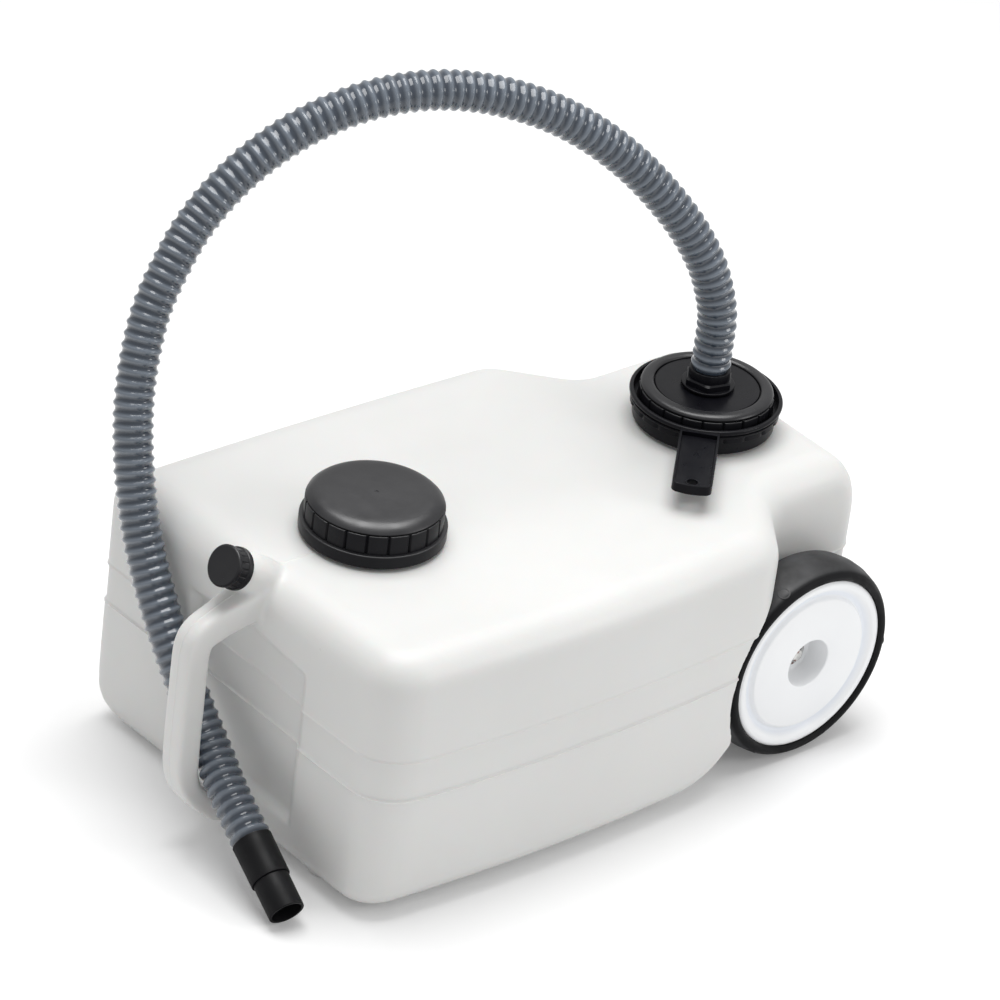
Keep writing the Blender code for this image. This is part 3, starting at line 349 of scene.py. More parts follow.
LOOKS = {
    "tank": tank_look(),
    "rim": rim_look(),
    "cap": black_look("cap_black", (0.007, 0.007, 0.009), (0.011, 0.011, 0.013), 0.26, 0.38, 0.75),
    "cap_top": black_look("cap_top_black", (0.010, 0.010, 0.012), (0.016, 0.016, 0.018), 0.30, 0.42, 0.85),
    "fitting": black_look("fitting_black", (0.003, 0.003, 0.005), (0.006, 0.006, 0.008), 0.26, 0.38, 0.30),
    "connector": black_look(
        "connector_black", (0.003, 0.003, 0.004), (0.006, 0.006, 0.007), 0.40, 0.52, 0.24),
    "tyre": rubber_look("tyre_rubber", (0.006, 0.006, 0.007), (0.038, 0.039, 0.042)),
    "seal": rubber_look("seal_rubber", (0.02, 0.02, 0.022), (0.035, 0.035, 0.037)),
    "hose": hose_look(),
    "steel": steel_look(),
}

# -------- making pieces


def add_piece(name, mesh, body, look, replaces=()):
    obj = in_scene(name, mesh)
    mesh.materials.clear()
    mesh.materials.append(LOOKS[look])
    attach(obj, body)
    if replaces:
        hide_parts(*replaces)
    return obj


def shaded(mesh, angle):
    """Smooth, with sharp edges where it turns by more than the angle in degrees."""
    mesh.shade_smooth()
    mesh.set_sharp_from_angle(angle=radians(angle))
    return mesh


def face_outward(mesh):
    bm = bmesh.new()
    bm.from_mesh(mesh)
    bmesh.ops.recalc_face_normals(bm, faces=bm.faces)
    bm.to_mesh(mesh)
    bm.free()
    return mesh


def make_mesh(name, points, faces, angle=35):
    mesh = bpy.data.meshes.new(name)
    mesh.from_pydata([tuple(p) for p in points], [], faces)
    mesh.validate()
    return face_outward(shaded(mesh, angle))


def rounded(profile, closed):
    """Round the corners of a profile of (radius, height, rounding) points, in four steps each."""
    out = []
    count = len(profile)
    for i, (r, z, rounding) in enumerate(profile):
        here = Vector((r, z))
        if rounding == 0 or (not closed and i in (0, count - 1)):
            out.append(here)
            continue
        before = Vector(profile[i - 1][:2]) - here
        after = Vector(profile[(i + 1) % count][:2]) - here
        size = min(rounding, 0.49 * before.length, 0.49 * after.length)
        a = here + before.normalized() * size
        b = here + after.normalized() * size
        for k in range(5):
            t = k / 4
            out.append(a * (1 - t) ** 2 + here * 2 * t * (1 - t) + b * t ** 2)
    return [(p.x, p.y) for p in out]


def rows_of(count, steps, first=0):
    """Rows of numbers of points that were made ring by ring."""
    return [range(first + i * steps, first + (i + 1) * steps) for i in range(count)]


def ring_faces(rows, closed=False):
    """Faces from each row to the next, and to the first if closed. A pole's row repeats one number."""
    faces = []
    for low, high in zip(rows, rows[1:] + rows[:1] if closed else rows[1:]):
        for k in range(len(low)):
            n = (k + 1) % len(low)
            face = tuple(dict.fromkeys((low[k], low[n], high[n], high[k])))
            if len(face) > 2:
                faces.append(face)
    return faces


def drum(name, radius, high, low, steps):
    """A plain round cutter."""
    return lathe(name, [(0, high, 0), (radius, high, 0), (radius, low, 0), (0, low, 0)], steps, closed=False)


def shifted(radius, height, profile):
    """A profile whose points are given from a radius and a height."""
    return [(radius + r, height + z, rounding) for r, z, rounding in profile]


def lathe(name, profile, steps, closed=True, shape=None, angle=35):
    """Turn a profile about Z. The shape function may change the radius at (radius, height, angle)."""
    points = []
    rows = []
    for r, z in rounded(profile, closed):
        first = len(points)
        if r < 1e-7:
            points.append((0, 0, z))
            rows.append([first] * steps)
            continue
        rows.append(range(first, first + steps))
        for k in range(steps):
            turn = tau * k / steps
            radius = r if shape is None else shape(r, z, turn)
            points.append((radius * cos(turn), radius * sin(turn), z))
    return make_mesh(name, points, ring_faces(rows, closed), angle)


def moved(mesh, matrix):
    mesh.transform(matrix)
    return mesh


def at(x, y=0.0, z=0.0):
    return Matrix.Translation((x, y, z))


def on_vent():
    return at(*VENT_FACE) @ Matrix.Rotation(VENT_TILT - pi / 2, 4, "Y")


def on_axle(side):
    return at(AXLE_X, 0, WHEEL_RADIUS) @ Matrix.Rotation(-side * pi / 2, 4, "X")


def joined(name, *meshes):
    """One mesh of several shells."""
    bm = bmesh.new()
    for mesh in meshes:
        bm.from_mesh(mesh)
    out = bpy.data.meshes.new(name)
    bm.to_mesh(out)
    bm.free()
    return out


def solid(mesh, change):
    """A mesh after the modifiers that a function adds."""
    obj = in_scene("work", mesh)
    change(obj)
    graph = bpy.context.evaluated_depsgraph_get()
    out = bpy.data.meshes.new_from_object(obj.evaluated_get(graph))
    bpy.data.objects.remove(obj, do_unlink=True)
    return out


def cut(base, *others):
    helpers = [in_scene("cutter", other) for other in others]

    def change(obj):
        for helper in helpers:
            modifier = obj.modifiers.new("cut", "BOOLEAN")
            modifier.operation = "DIFFERENCE"
            modifier.object = helper
            modifier.solver = "EXACT"

    out = solid(base, change)
    for helper in helpers:
        bpy.data.objects.remove(helper, do_unlink=True)
    return out


# -------- hose


def hermite(p0, p1, m0, m1, t):
    a = 2 * t ** 3 - 3 * t ** 2 + 1
    b = t ** 3 - 2 * t ** 2 + t
    c = -2 * t ** 3 + 3 * t ** 2
    d = t ** 3 - t ** 2
    return p0 * a + m0 * b + p1 * c + m1 * d


def step_at(path, i):
    """The step from the point before to the point after."""
    return path[min(i + 1, len(path) - 1)] - path[max(i - 1, 0)]


def smooth_path(points, steps):
    """A smooth curve through the points. Its first and last runs are straight."""
    points = [Vector(p) for p in points]
    last = len(points) - 1
    slopes = [step_at(points, i) / 2 for i in range(last + 1)]
    slopes[0] = points[1] - points[0]
    slopes[1] = slopes[0].normalized() * (points[2] - points[1]).length
    slopes[last] = points[last] - points[last - 1]
    slopes[last - 1] = slopes[last].normalized() * (points[last - 1] - points[last - 2]).length
    path = [points[0]]
    for i in range(1, last - 1):
        for k in range(steps):
            path.append(hermite(points[i], points[i + 1], slopes[i], slopes[i + 1], k / steps))
    return path + [points[last - 1], points[last]]


def lengths_along(path):
    lengths = [0.0]
    for a, b in zip(path, path[1:]):
        lengths.append(lengths[-1] + (b - a).length)
    return lengths


def even_points(path, count):
    """Points evenly spaced along a path, and its length."""
    lengths = lengths_along(path)
    spaced = []
    k = 0
    for i in range(count):
        goal = lengths[-1] * i / (count - 1)
        while k < len(path) - 2 and lengths[k + 1] < goal:
            k += 1
        share = (goal - lengths[k]) / (lengths[k + 1] - lengths[k])
        spaced.append(path[k].lerp(path[k + 1], share))
    return spaced, lengths[-1]


def frames_along(path):
    """Two crosswise directions at each point of a path, which turn no more than it does."""
    tangents = [step_at(path, i).normalized() for i in range(len(path))]
    side = tangents[0].orthogonal().normalized()
    frames = []
    for tangent in tangents:
        side = (side - tangent * side.dot(tangent)).normalized()
        frames.append((side, tangent.cross(side)))
    return frames


def rib_height(phase):
    """Height of a rib, from 0 to 1, over one pitch: a rounded ridge, narrower than its valley."""
    return (0.5 - 0.5 * cos(tau * phase)) ** 1.6


def make_hose():
    """The hose with its ribs and its bore, the line that it follows, and its length."""
    per_rib = 10
    around = 36
    run = 2 * HOSE_RIB_RADIUS + 0.004
    path = smooth_path([HOSE_START, HOSE_START + Vector((0, 0, run)), *HOSE_ROUTE,
                        HOSE_END - HOSE_END_DIRECTION * run, HOSE_END], 12)
    rib_count = round(lengths_along(path)[-1] / HOSE_RIB_PITCH)
    places, length = even_points(path, rib_count * per_rib + 1)
    frames = frames_along(places)
    points = []
    ribs = []

    def add_ring(i, radius, height):
        side, other = frames[i]
        for k in range(around):
            turn = tau * k / around
            points.append(places[i] + side * radius * cos(turn) + other * radius * sin(turn))
            ribs.append(height)

    rings = len(places)
    for i in range(rings):
        height = rib_height((i % per_rib) / per_rib)
        add_ring(i, HOSE_BODY_RADIUS + (HOSE_RIB_RADIUS - HOSE_BODY_RADIUS) * height, height)
    inside = range(0, rings, per_rib // 2)
    outer = rows_of(rings, around)
    inner = rows_of(len(inside), around, len(points))
    for i in inside:
        add_ring(i, HOSE_BORE, 0.0)
    faces = ring_faces(outer) + ring_faces(inner)
    faces += ring_faces([inner[0], outer[0]]) + ring_faces([outer[-1], inner[-1]])
    mesh = make_mesh("ribbed_hose", points, faces, 60)
    # The rib height also sets the hose's painted shade in the valleys and painted highlight on the ribs.
    attribute = mesh.attributes.new("rib", "FLOAT", "POINT")
    attribute.data.foreach_set("value", ribs)
    return mesh, [tuple(p) for p in places[::per_rib // 2]], length


hose_mesh, HOSE_LINE, HOSE_LENGTH = make_hose()
ribbed_hose = add_piece("ribbed_hose", hose_mesh, "tank", "hose", ["hose"])


def end_part(name, profile):
    """A round part on the free end of the hose."""
    turn = HOSE_END_DIRECTION.to_track_quat("Z", "Y").to_matrix().to_4x4()
    return moved(lathe(name, profile, 64), at(*HOSE_END) @ turn)


end_sleeve = add_piece("end_sleeve", end_part("end_sleeve", [
    (0.0126, 0.0353, 0.0003), (0.0154, 0.0353, 0.0006), (0.0154, 0.0300, 0), (0.0156, 0.0030, 0.0005),
    (0.0158, 0.0003, 0.0008), (0.0126, 0.0003, 0.0003)]), "tank", "connector", ["hose_end_sleeve"])
end_nozzle = add_piece("end_nozzle", end_part("end_nozzle", [
    (0.0119, 0.0641, 0.0004), (0.0140, 0.0641, 0.0006), (0.0141, 0.0356, 0.0004),
    (0.0119, 0.0356, 0.0003)]), "tank", "connector", ["hose_end_nozzle"])


def make_fitting():
    """Flange, hexagon, collar and tail, with a stem down through the disc."""
    collar_end = HOSE_START.z - SEAT_GAP
    stem_end = FITTING_BASE - 0.016
    tail_end = collar_end + 0.021
    base = FITTING_BASE
    low = base + 0.001
    corner = 0.0200
    body = lathe("fitting_body", [
        (0.0075, tail_end, 0.0003), (0.0090, tail_end, 0.0005), (0.0105, tail_end - 0.002, 0),
        (0.0105, collar_end, 0.0003), (0.0160, collar_end, 0.0008), (0.0162, HEX_TOP + 0.0006, 0.0004),
        (0.0160, HEX_TOP - 0.003, 0), (0.0160, base + 0.002, 0.0004), (0.0210, base + 0.0018, 0.0007),
        (0.0210, base, 0.0003), (0.0105, base, 0), (0.0105, stem_end, 0.0005),
        (0.0075, stem_end, 0.0003)], 64)

    def hexagon(r, z, turn):
        if r < 0.017:
            return r
        flat = cos(radians(30))
        away = ((turn + radians(14)) % (tau / 6)) - tau / 12
        side = corner * flat / cos(away)
        chamfer = corner - 0.0002 - 0.9 * max(0.0, z - (HEX_TOP - 0.0012))
        return min(side, chamfer) * r / corner

    ring = lathe("fitting_hexagon", [
        (0.0140, HEX_TOP, 0), (0.0188, HEX_TOP, 0), (corner, HEX_TOP - 0.0012, 0), (corner, low, 0),
        (0.0140, low, 0)], 96, shape=hexagon, angle=20)
    return moved(joined("fitting", body, ring), at(OUTLET_X))


hose_fitting = add_piece("outlet_fitting", make_fitting(), "tank", "fitting", ["hose_fitting"])

# -------- tank shell


def crossing(line_a, line_b):
    ax, ay, ad = line_a
    bx, by, bd = line_b
    det = ax * by - ay * bx
    return ((ad * by - bd * ay) / det, (ax * bd - bx * ad) / det)


def corner_arc(line_a, line_b, radius, steps, convex):
    side = -1.0 if convex else 1.0
    shifted_a = (line_a[0], line_a[1], line_a[2] + side * radius)
    shifted_b = (line_b[0], line_b[1], line_b[2] + side * radius)
    cx, cy = crossing(shifted_a, shifted_b)
    start = atan2(-side * line_a[1], -side * line_a[0])
    end = atan2(-side * line_b[1], -side * line_b[0])
    if convex and end < start:
        end += tau
    if not convex and end > start:
        end -= tau
    return [
        (cx + radius * cos(start + (end - start) * i / steps),
         cy + radius * sin(start + (end - start) * i / steps))
        for i in range(steps + 1)]


def half_outline(side_inset, end_inset, tail_inset, waist_inset, plan):
    along, across = cos(plan["waist_turn"]), sin(plan["waist_turn"])
    waist_reach = plan["waist_x"] * along + plan["tail_half"] * across
    tail_line = (1, 0, TAIL_X - tail_inset)
    neck_line = (0, 1, plan["tail_half"] - side_inset)
    waist_line = (along, across, waist_reach - max(side_inset, waist_inset))
    side_line = (0, 1, SIDE_HALF - side_inset)
    end_line = (-1, 0, -plan["end_x"] - end_inset)

    def round_corner(a, b, radius, inset, steps, convex=True):
        size = max(radius - inset, 0.004) if convex else radius + inset
        return corner_arc(a, b, size, steps, convex)

    tail_corner = round_corner(tail_line, neck_line, TAIL_CORNER, side_inset, 10)
    inner = round_corner(neck_line, waist_line, WAIST_INNER_ROUND, side_inset, 10, convex=False)
    outer = round_corner(waist_line, side_line, WAIST_OUTER_ROUND, side_inset, 10)
    end_corner = round_corner(side_line, end_line, plan["corner"], max(side_inset, end_inset), 12)
    start, y = outer[-1]
    side = [(start + (end_corner[0][0] - start) * (i / 24), y) for i in range(1, 24)]
    bulged = []
    for x, y in tail_corner + inner + outer + side + end_corner:
        away = (x - plan["bulge_x"]) / plan["bulge_reach"]
        bulged.append((x, y + BULGE * max(0.0, 1 - away * away) * y / SIDE_HALF))
    return bulged


def quarter(height, round_height, round_depth):
    share = min(max(height / round_height, 0.0), 1.0)
    return round_depth * (1 - sqrt(max(0.0, 1 - share * share)))


def tank_ring(z):
    top_inset = quarter(z - (TANK_TOP - TOP_ROUND), TOP_ROUND, TOP_ROUND)
    side_foot = quarter(TANK_FLOOR + SIDE_FOOT_ROUND - z, SIDE_FOOT_ROUND, SIDE_FOOT_ROUND)
    tail = quarter(z - (TANK_TOP - TAIL_TOP_HEIGHT), TAIL_TOP_HEIGHT, TAIL_TOP_DEPTH)
    waist = quarter(TANK_FLOOR + WAIST_FOOT_HEIGHT - z, WAIST_FOOT_HEIGHT, WAIST_FOOT_DEPTH)
    draft = max(0.0, 1 - (z - TANK_FLOOR) / (BAND_HIGH - TANK_FLOOR))
    halves = []
    for plan in (FAR_PLAN, NEAR_PLAN):
        foot = quarter(TANK_FLOOR + plan["foot_height"] - z, plan["foot_height"], plan["foot_depth"])
        end = top_inset + foot - plan["draft"] * draft
        halves.append(half_outline(top_inset + side_foot, end, tail + side_foot, waist, plan))
    far, near = halves
    return [(x, y, z) for x, y in far] + [(x, -y, z) for x, y in reversed(near)]


def tank_levels():
    levels = [TANK_FLOOR + SIDE_FOOT_ROUND * (1 - cos(radians(a))) for a in range(0, 91, 9)]
    levels += [0.045, 0.060, 0.075, 0.085, 0.100, 0.120, 0.140, 0.160, 0.170, 0.180, 0.188]
    levels += [TANK_TOP - TOP_ROUND * (1 - sin(radians(a))) for a in range(0, 91, 9)]
    return levels


def loft(name, rings):
    count = len(rings[0])
    points = [p for ring in rings for p in ring]
    faces = [tuple(reversed(range(count)))] + ring_faces(rows_of(len(rings), count))
    faces.append(tuple(range(len(points) - count, len(points))))
    mesh = bpy.data.meshes.new(name)
    mesh.from_pydata(points, [], faces)
    return face_outward(mesh)


def recess_cutter():
    """The shallow recess behind the handle, with sloping walls and a slightly peaked top."""
    rings = []
    for out, grow in ((-0.012, 0.006), (0.0, 0.003), (RECESS_DEPTH - 0.001, 0.0), (RECESS_DEPTH, -0.002)):
        half, low, high = RECESS_HALF + grow, RECESS_LOW - grow, RECESS_HIGH + grow
        outline = [(-half, low), (-half, high), (0, high + 0.006), (half, high), (half, low)]
        rings.append([(END_X + out, y, z) for y, z in outline])
    return loft("recess", rings)


def handle_bar():
    """The handle: a bar of rounded-square section along its line, in the plane y = 0."""
    places = handle_line()
    line = [Vector((x, 0, z)) for x, z, _ in places]
    rings = []
    for i, (_, _, half) in enumerate(places):
        tangent = step_at(line, i).normalized()
        out = Vector((-tangent.z, 0, tangent.x))
        ring = []
        for k in range(40):
            turn = tau * k / 40
            c, s = cos(turn), sin(turn)
            u = copysign(abs(c) ** 0.30, c)
            v = copysign(abs(s) ** 0.30, s)
            ring.append(tuple(line[i] + out * half * u + Vector((0, handle_half_width(line[i]) * v, 0))))
        rings.append(ring)
    return loft("handle", rings)


def handle_line():
    """The handle's line with its half thickness: points (x, z, half)."""
    grip = END_X - GRIP_REACH
    top = TANK_TOP
    floor = TANK_FLOOR
    knots = [
        (END_X + 0.030, top - 0.0165, 0.0135), (END_X + 0.008, top - 0.0205, 0.0135),
        (END_X - 0.015, top - 0.0265, 0.0130), (END_X - 0.033, top - 0.0325, 0.0125),
        (grip + 0.0066, top - 0.0382, 0.0120), (grip + 0.0010, top - 0.0480, 0.0112),
        (grip, top - 0.0680, 0.0110), (grip, top - 0.0950, 0.0110), (grip, floor + 0.0950, 0.0110),
        (grip + 0.0005, floor + 0.0740, 0.0110), (grip + 0.0025, floor + 0.0580, 0.0100),
        (grip + 0.0090, floor + 0.0435, 0.0085), (grip + 0.0230, floor + 0.0280, 0.0085),
        (grip + 0.0385, floor + 0.0175, 0.0085), (END_X + 0.020, floor + 0.0135, 0.0085)]
    path = smooth_path([(x, 0, z) for x, z, _ in knots], 5)
    lengths = lengths_along(path)
    known = [0.0]
    for i in range(1, len(knots)):
        knot = Vector((knots[i][0], 0, knots[i][1]))
        known.append(lengths[min(range(len(path)), key=lambda k: (path[k] - knot).length)])
    halves = np.interp(lengths, known, [k[2] for k in knots])
    return [(p.x, p.z, float(h)) for p, h in zip(path, halves)]


def handle_half_width(place):
    return 0.0112 + 0.0035 * max(0.0, min(1.0, (place.x - (END_X - 0.030)) / 0.030))


def sharpen_handle(mesh):
    """Bring the smoothed handle back to its flat-sided section."""
    line = handle_line()
    centres = [Vector((x, 0, z)) for x, z, _ in line]
    for v in mesh.vertices:
        blend = smoothstep(END_X - 0.008 - v.co.x, 0.0, 0.012)
        if blend == 0.0:
            continue
        flat = Vector((v.co.x, 0, v.co.z))
        near = min(range(len(centres)), key=lambda k: (centres[k] - flat).length_squared)
        if near in (0, len(centres) - 1) or (centres[near] - flat).length > 0.02:
            continue
        tangent = step_at(centres, near).normalized()
        out = Vector((-tangent.z, 0, tangent.x))
        offset = v.co - centres[near]
        offset -= tangent * offset.dot(tangent)
        u = offset.dot(out) / line[near][2]
        w = v.co.y / handle_half_width(centres[near])
        size = (abs(u) ** 5 + abs(w) ** 5) ** 0.2
        if size > 0.5:
            v.co += offset * ((1 / size - 1) * blend * (1 - smoothstep(size, 1.1, 1.35)))


def spout_root():
    """The flared root of the vent spout, which fades into the tank's top."""
    profile = [(0, -0.0075), (0.0117, -0.0075), (0.0117, -0.0170), (0.0142, -0.0185), (0.0150, -0.028),
               (0.0142, -0.042), (0.0105, -0.060), (0, -0.060)]
    return moved(lathe("spout_root", [(r, z, 0) for r, z in profile], 48, closed=False), on_vent())


def make_tank_shell():
    """The moulded body, softened, then bored, with its band, seams and mould line."""
    base = loft("tank_base", [tank_ring(z) for z in tank_levels()])
    wells = [moved(drum("well", WELL_RADIUS, PAST_SIDE, WELL_INNER_Y, 96), on_axle(side)) for side in (-1, 1)]
    base = cut(base, recess_cutter(), *wells)
    foot = [(0, 0.012, 0), (0.0140, 0.012, 0), (0.0140, 0.0012, 0), (0.0128, 0, 0), (0, 0, 0)]
    feet = [moved(lathe("foot", foot, 32, closed=False), at(-0.207, y)) for y in (-0.085, 0.085)]
    merged = joined("merged", base, handle_bar(), spout_root(), *feet)

    def remesh(obj):
        modifier = obj.modifiers.new("merge", "REMESH")
        modifier.mode = "VOXEL"
        modifier.voxel_size = 0.0021
        soften = obj.modifiers.new("soften", "SMOOTH")
        soften.factor = 0.5
        soften.iterations = 9

    shell = solid(merged, remesh)
    sharpen_handle(shell)
    bores = [moved(drum("bore", NECK_BORE, 0.26, 0.17, 64), at(x)) for x in (FILLER_X, OUTLET_X)]
    vent_bore = moved(drum("vent_bore", VENT_BORE, 0.01, -VENT_BORE_DEPTH, 40), on_vent())
    tunnel = moved(drum("tunnel", AXLE_BORE, PAST_SIDE, -PAST_SIDE, 32), on_axle(1))
    shell = cut(shell, *bores, vent_bore, tunnel)
    bm = bmesh.new()
    bm.from_mesh(shell)
    for z in (BAND_LOW, BAND_HIGH):
        for shift in (-SEAM_HALF, -0.0006, 0.0, 0.0006, SEAM_HALF):
            bmesh.ops.bisect_plane(bm, geom=bm.verts[:] + bm.edges[:] + bm.faces[:], dist=0.00002,
                                   plane_co=(0, 0, z + shift), plane_no=(0, 0, 1))
    for shift in (-0.0012, -0.0005, 0.0, 0.0005, 0.0012):
        centres = [(f, f.calc_center_median()) for f in bm.faces]
        faces = [f for f, middle in centres if middle.x < FILLER_X + 0.03 and abs(middle.y) < 0.006]
        edges = {e for f in faces for e in f.edges}
        verts = {v for e in edges for v in e.verts}
        bmesh.ops.bisect_plane(bm, geom=list(verts) + list(edges) + faces, dist=0.00002,
                               plane_co=(0, shift, 0), plane_no=(0, 1, 0))
    bm.normal_update()
    for v in bm.verts:
        x, y, z = v.co
        n = v.normal
        flat = Vector((n.x, n.y, 0))
        if flat.length > 0.5:
            flat.normalize()
            inside = min(z - BAND_LOW, BAND_HIGH - z)
            if x > END_X - 0.012:
                v.co -= flat * 0.7 * BAND_INSET * smoothstep(inside, -0.0005, 0.0005)
                for seam in (BAND_LOW, BAND_HIGH):
                    v.co += flat * SEAM_HEIGHT * max(0.0, 1 - abs(z - seam) / SEAM_HALF)
        outer = x < END_X - 0.012 and (n.x < -0.3 or n.z > 0.3)
        crest = x < FILLER_X - 0.04 and z > TANK_TOP - 0.012 and n.z > 0.3 and x > END_X + 0.002
        if abs(y) < MOULD_LINE_HALF and (outer or crest):
            v.co += n * MOULD_LINE_HEIGHT * (1 - abs(y) / MOULD_LINE_HALF)
    bm.to_mesh(shell)
    bm.free()
    return shaded(shell, 50)


def smoothstep(value, low, high):
    t = min(max((value - low) / (high - low), 0.0), 1.0)
    return t * t * (3 - 2 * t)


add_piece("tank_shell", make_tank_shell(), "tank", "tank", ["tank_body"])


def make_neck(x):
    """A neck with a round screw thread and a flared foot."""
    points = []
    steps = 128
    rows = 44
    low = TANK_TOP - 0.004
    for i in range(rows + 1):
        z = low + (NECK_RIM - low) * i / rows
        threaded = smoothstep(z, TANK_TOP + 0.006, TANK_TOP + 0.009) * (
            1 - smoothstep(z, NECK_RIM - 0.004, NECK_RIM - 0.002))
        flare = 0.0025 * (1 - smoothstep(z, TANK_TOP - 0.001, TANK_TOP + 0.0025))
        for k in range(steps):
            turn = tau * k / steps
            climb = (z - (TANK_TOP + 0.0085)) / THREAD_PITCH - turn / tau
            ridge = max(0.0, cos(tau * climb)) ** 2
            radius = NECK_RADIUS - THREAD_DEPTH + THREAD_DEPTH * ridge * threaded + flare
            if i == rows:
                radius -= 0.0006
            points.append((radius * cos(turn), radius * sin(turn), z))
    for radius, z in ((NECK_BORE + 0.0004, NECK_RIM), (NECK_BORE, NECK_RIM - 0.0006), (NECK_BORE, low)):
        points += [(radius * cos(tau * k / steps), radius * sin(tau * k / steps), z) for k in range(steps)]
    return moved(make_mesh("neck", points, ring_faces(rows_of(rows + 4, steps), closed=True)), at(x))


add_piece("filler_neck", make_neck(FILLER_X), "tank", "tank")
add_piece("outlet_neck", make_neck(OUTLET_X), "tank", "tank")

# -------- screw caps


def slotted(r, turn, count, around, inner, outer, depth):
    """The radius r with evenly spaced slots. The sides of a slot slope from inner to outer
    along the circle of radius around."""
    step = tau / count
    away = abs((turn % step) - step / 2) * around
    return r - depth * (1 - smoothstep(away, inner, outer))


def skirt_shape(r, z, turn):
    """Upright slots round a cap's skirt."""
    on_skirt = CAP_UNDERCUT + 0.001 <= r <= SKIRT_RADIUS + 0.0002
    if not on_skirt or not COLLAR_TOP - 0.00005 <= z <= SKIRT_TOP + 0.0001:
        return r
    return slotted(r, turn, RIB_COUNT, SKIRT_RADIUS, 0.0008, 0.0014, 0.0018)


def skirt_profile(shoulder):
    return [
        (CAP_SHOULDER + 0.0005, shoulder, 0.0010), (CAP_UNDERCUT + 0.0006, SKIRT_TOP + 0.0016, 0.0008),
        (CAP_UNDERCUT, SKIRT_TOP + 0.0002, 0.0003), (SKIRT_RADIUS - 0.0002, SKIRT_TOP, 0.0007),
        (SKIRT_RADIUS, COLLAR_TOP, 0), (COLLAR_RADIUS, COLLAR_TOP - 0.0001, 0.0010),
        (COLLAR_RADIUS, CAP_BASE, 0.0010), (COLLAR_RADIUS - 0.0035, CAP_BASE, 0.0006),
        (COLLAR_RADIUS - 0.0035, COLLAR_TOP - 0.0035, 0), (CAP_BORE, COLLAR_TOP - 0.0035, 0)]


def make_filler_cap():
    profile = shifted(0, CAP_TOP, [
        (0, -0.0012, 0), (0.0012, -0.0012, 0), (0.0016, -0.0007, 0), (0.030, -0.0004, 0),
        (0.0395, -0.0005, 0.002), (0.0440, -0.0011, 0.002), (0.0474, -0.0024, 0.002),
        (0.0500, -0.0043, 0.0018)])
    profile += skirt_profile(CAP_TOP - 0.0070)
    profile += [(CAP_BORE, CAP_SEAT, 0), (NECK_BORE, CAP_SEAT, 0), (NECK_BORE - 0.002, CAP_TOP - 0.003, 0),
                (0, CAP_TOP - 0.003, 0)]
    return moved(lathe("filler_screw_cap", profile, 240, closed=False, shape=skirt_shape), at(FILLER_X))


def make_outlet_ring():
    profile = shifted(RING_BORE, RING_TOP, [
        (0, -0.0022, 0), (0.0003, -0.0012, 0.0008), (0.0022, 0.0001, 0.0020), (0.0062, -0.0002, 0.0028)])
    profile += [(CAP_SHOULDER - 0.0012, RING_TOP - 0.0012, 0.0028)] + skirt_profile(RING_TOP - 0.0036)
    lip = DISC_FLANGE + SEAT_GAP + 0.001 + SEAT_GAP
    profile += [(CAP_BORE, lip, 0), (RING_BORE, lip, 0)]
    return moved(lathe("outlet_screw_ring", profile, 240, shape=skirt_shape), at(OUTLET_X))


add_piece("filler_screw_cap", make_filler_cap(), "filler_cap", "cap_top", ["filler_cap"])
add_piece("outlet_screw_ring", make_outlet_ring(), "outlet_ring", "cap", ["outlet_cap_ring"])


def make_outlet_disc():
    hole = 0.0110
    raised = RING_BORE - 0.0006
    profile = [(hole, DISC_TOP, 0.0003), (0.0350, DISC_TOP, 0), (raised - 0.0003, DISC_TOP, 0.0008),
               (raised, DISC_TOP - 0.0012, 0), (raised, DISC_FLANGE, 0), (NECK_RADIUS, DISC_FLANGE, 0),
               (NECK_RADIUS, CAP_SEAT, 0), (hole, CAP_SEAT, 0)]
    return moved(lathe("outlet_plate", profile, 128), at(OUTLET_X))


add_piece("outlet_plate", make_outlet_disc(), "tank", "fitting", ["outlet_disc"])

# -------- cap wrench


def lever_outline(inner, inset):
    half = LEVER_WIDTH / 2 - inset
    tip = LEVER_REACH - inset
    corner = LEVER_CORNER - inset
    centre = tip - LEVER_CROWN * ((half - corner) / half) ** 2 - corner

    def corner_points(y, start):
        turns = [start + pi / 2 * k / 6 for k in range(7)]
        return [(centre + corner * cos(t), y + corner * sin(t)) for t in turns]

    points = [(inner, -half)] + corner_points(corner - half, -pi / 2)
    for k in range(1, 8):
        y = (half - corner) * (2 * k / 8 - 1)
        points.append((tip - LEVER_CROWN * (y / half) ** 2, y))
    return points + corner_points(half - corner, 0) + [(inner, half)]


def lever_slab(inner, levels):
    return loft("slab", [[(x, y, z) for x, y in lever_outline(inner, inset)] for inset, z in levels])


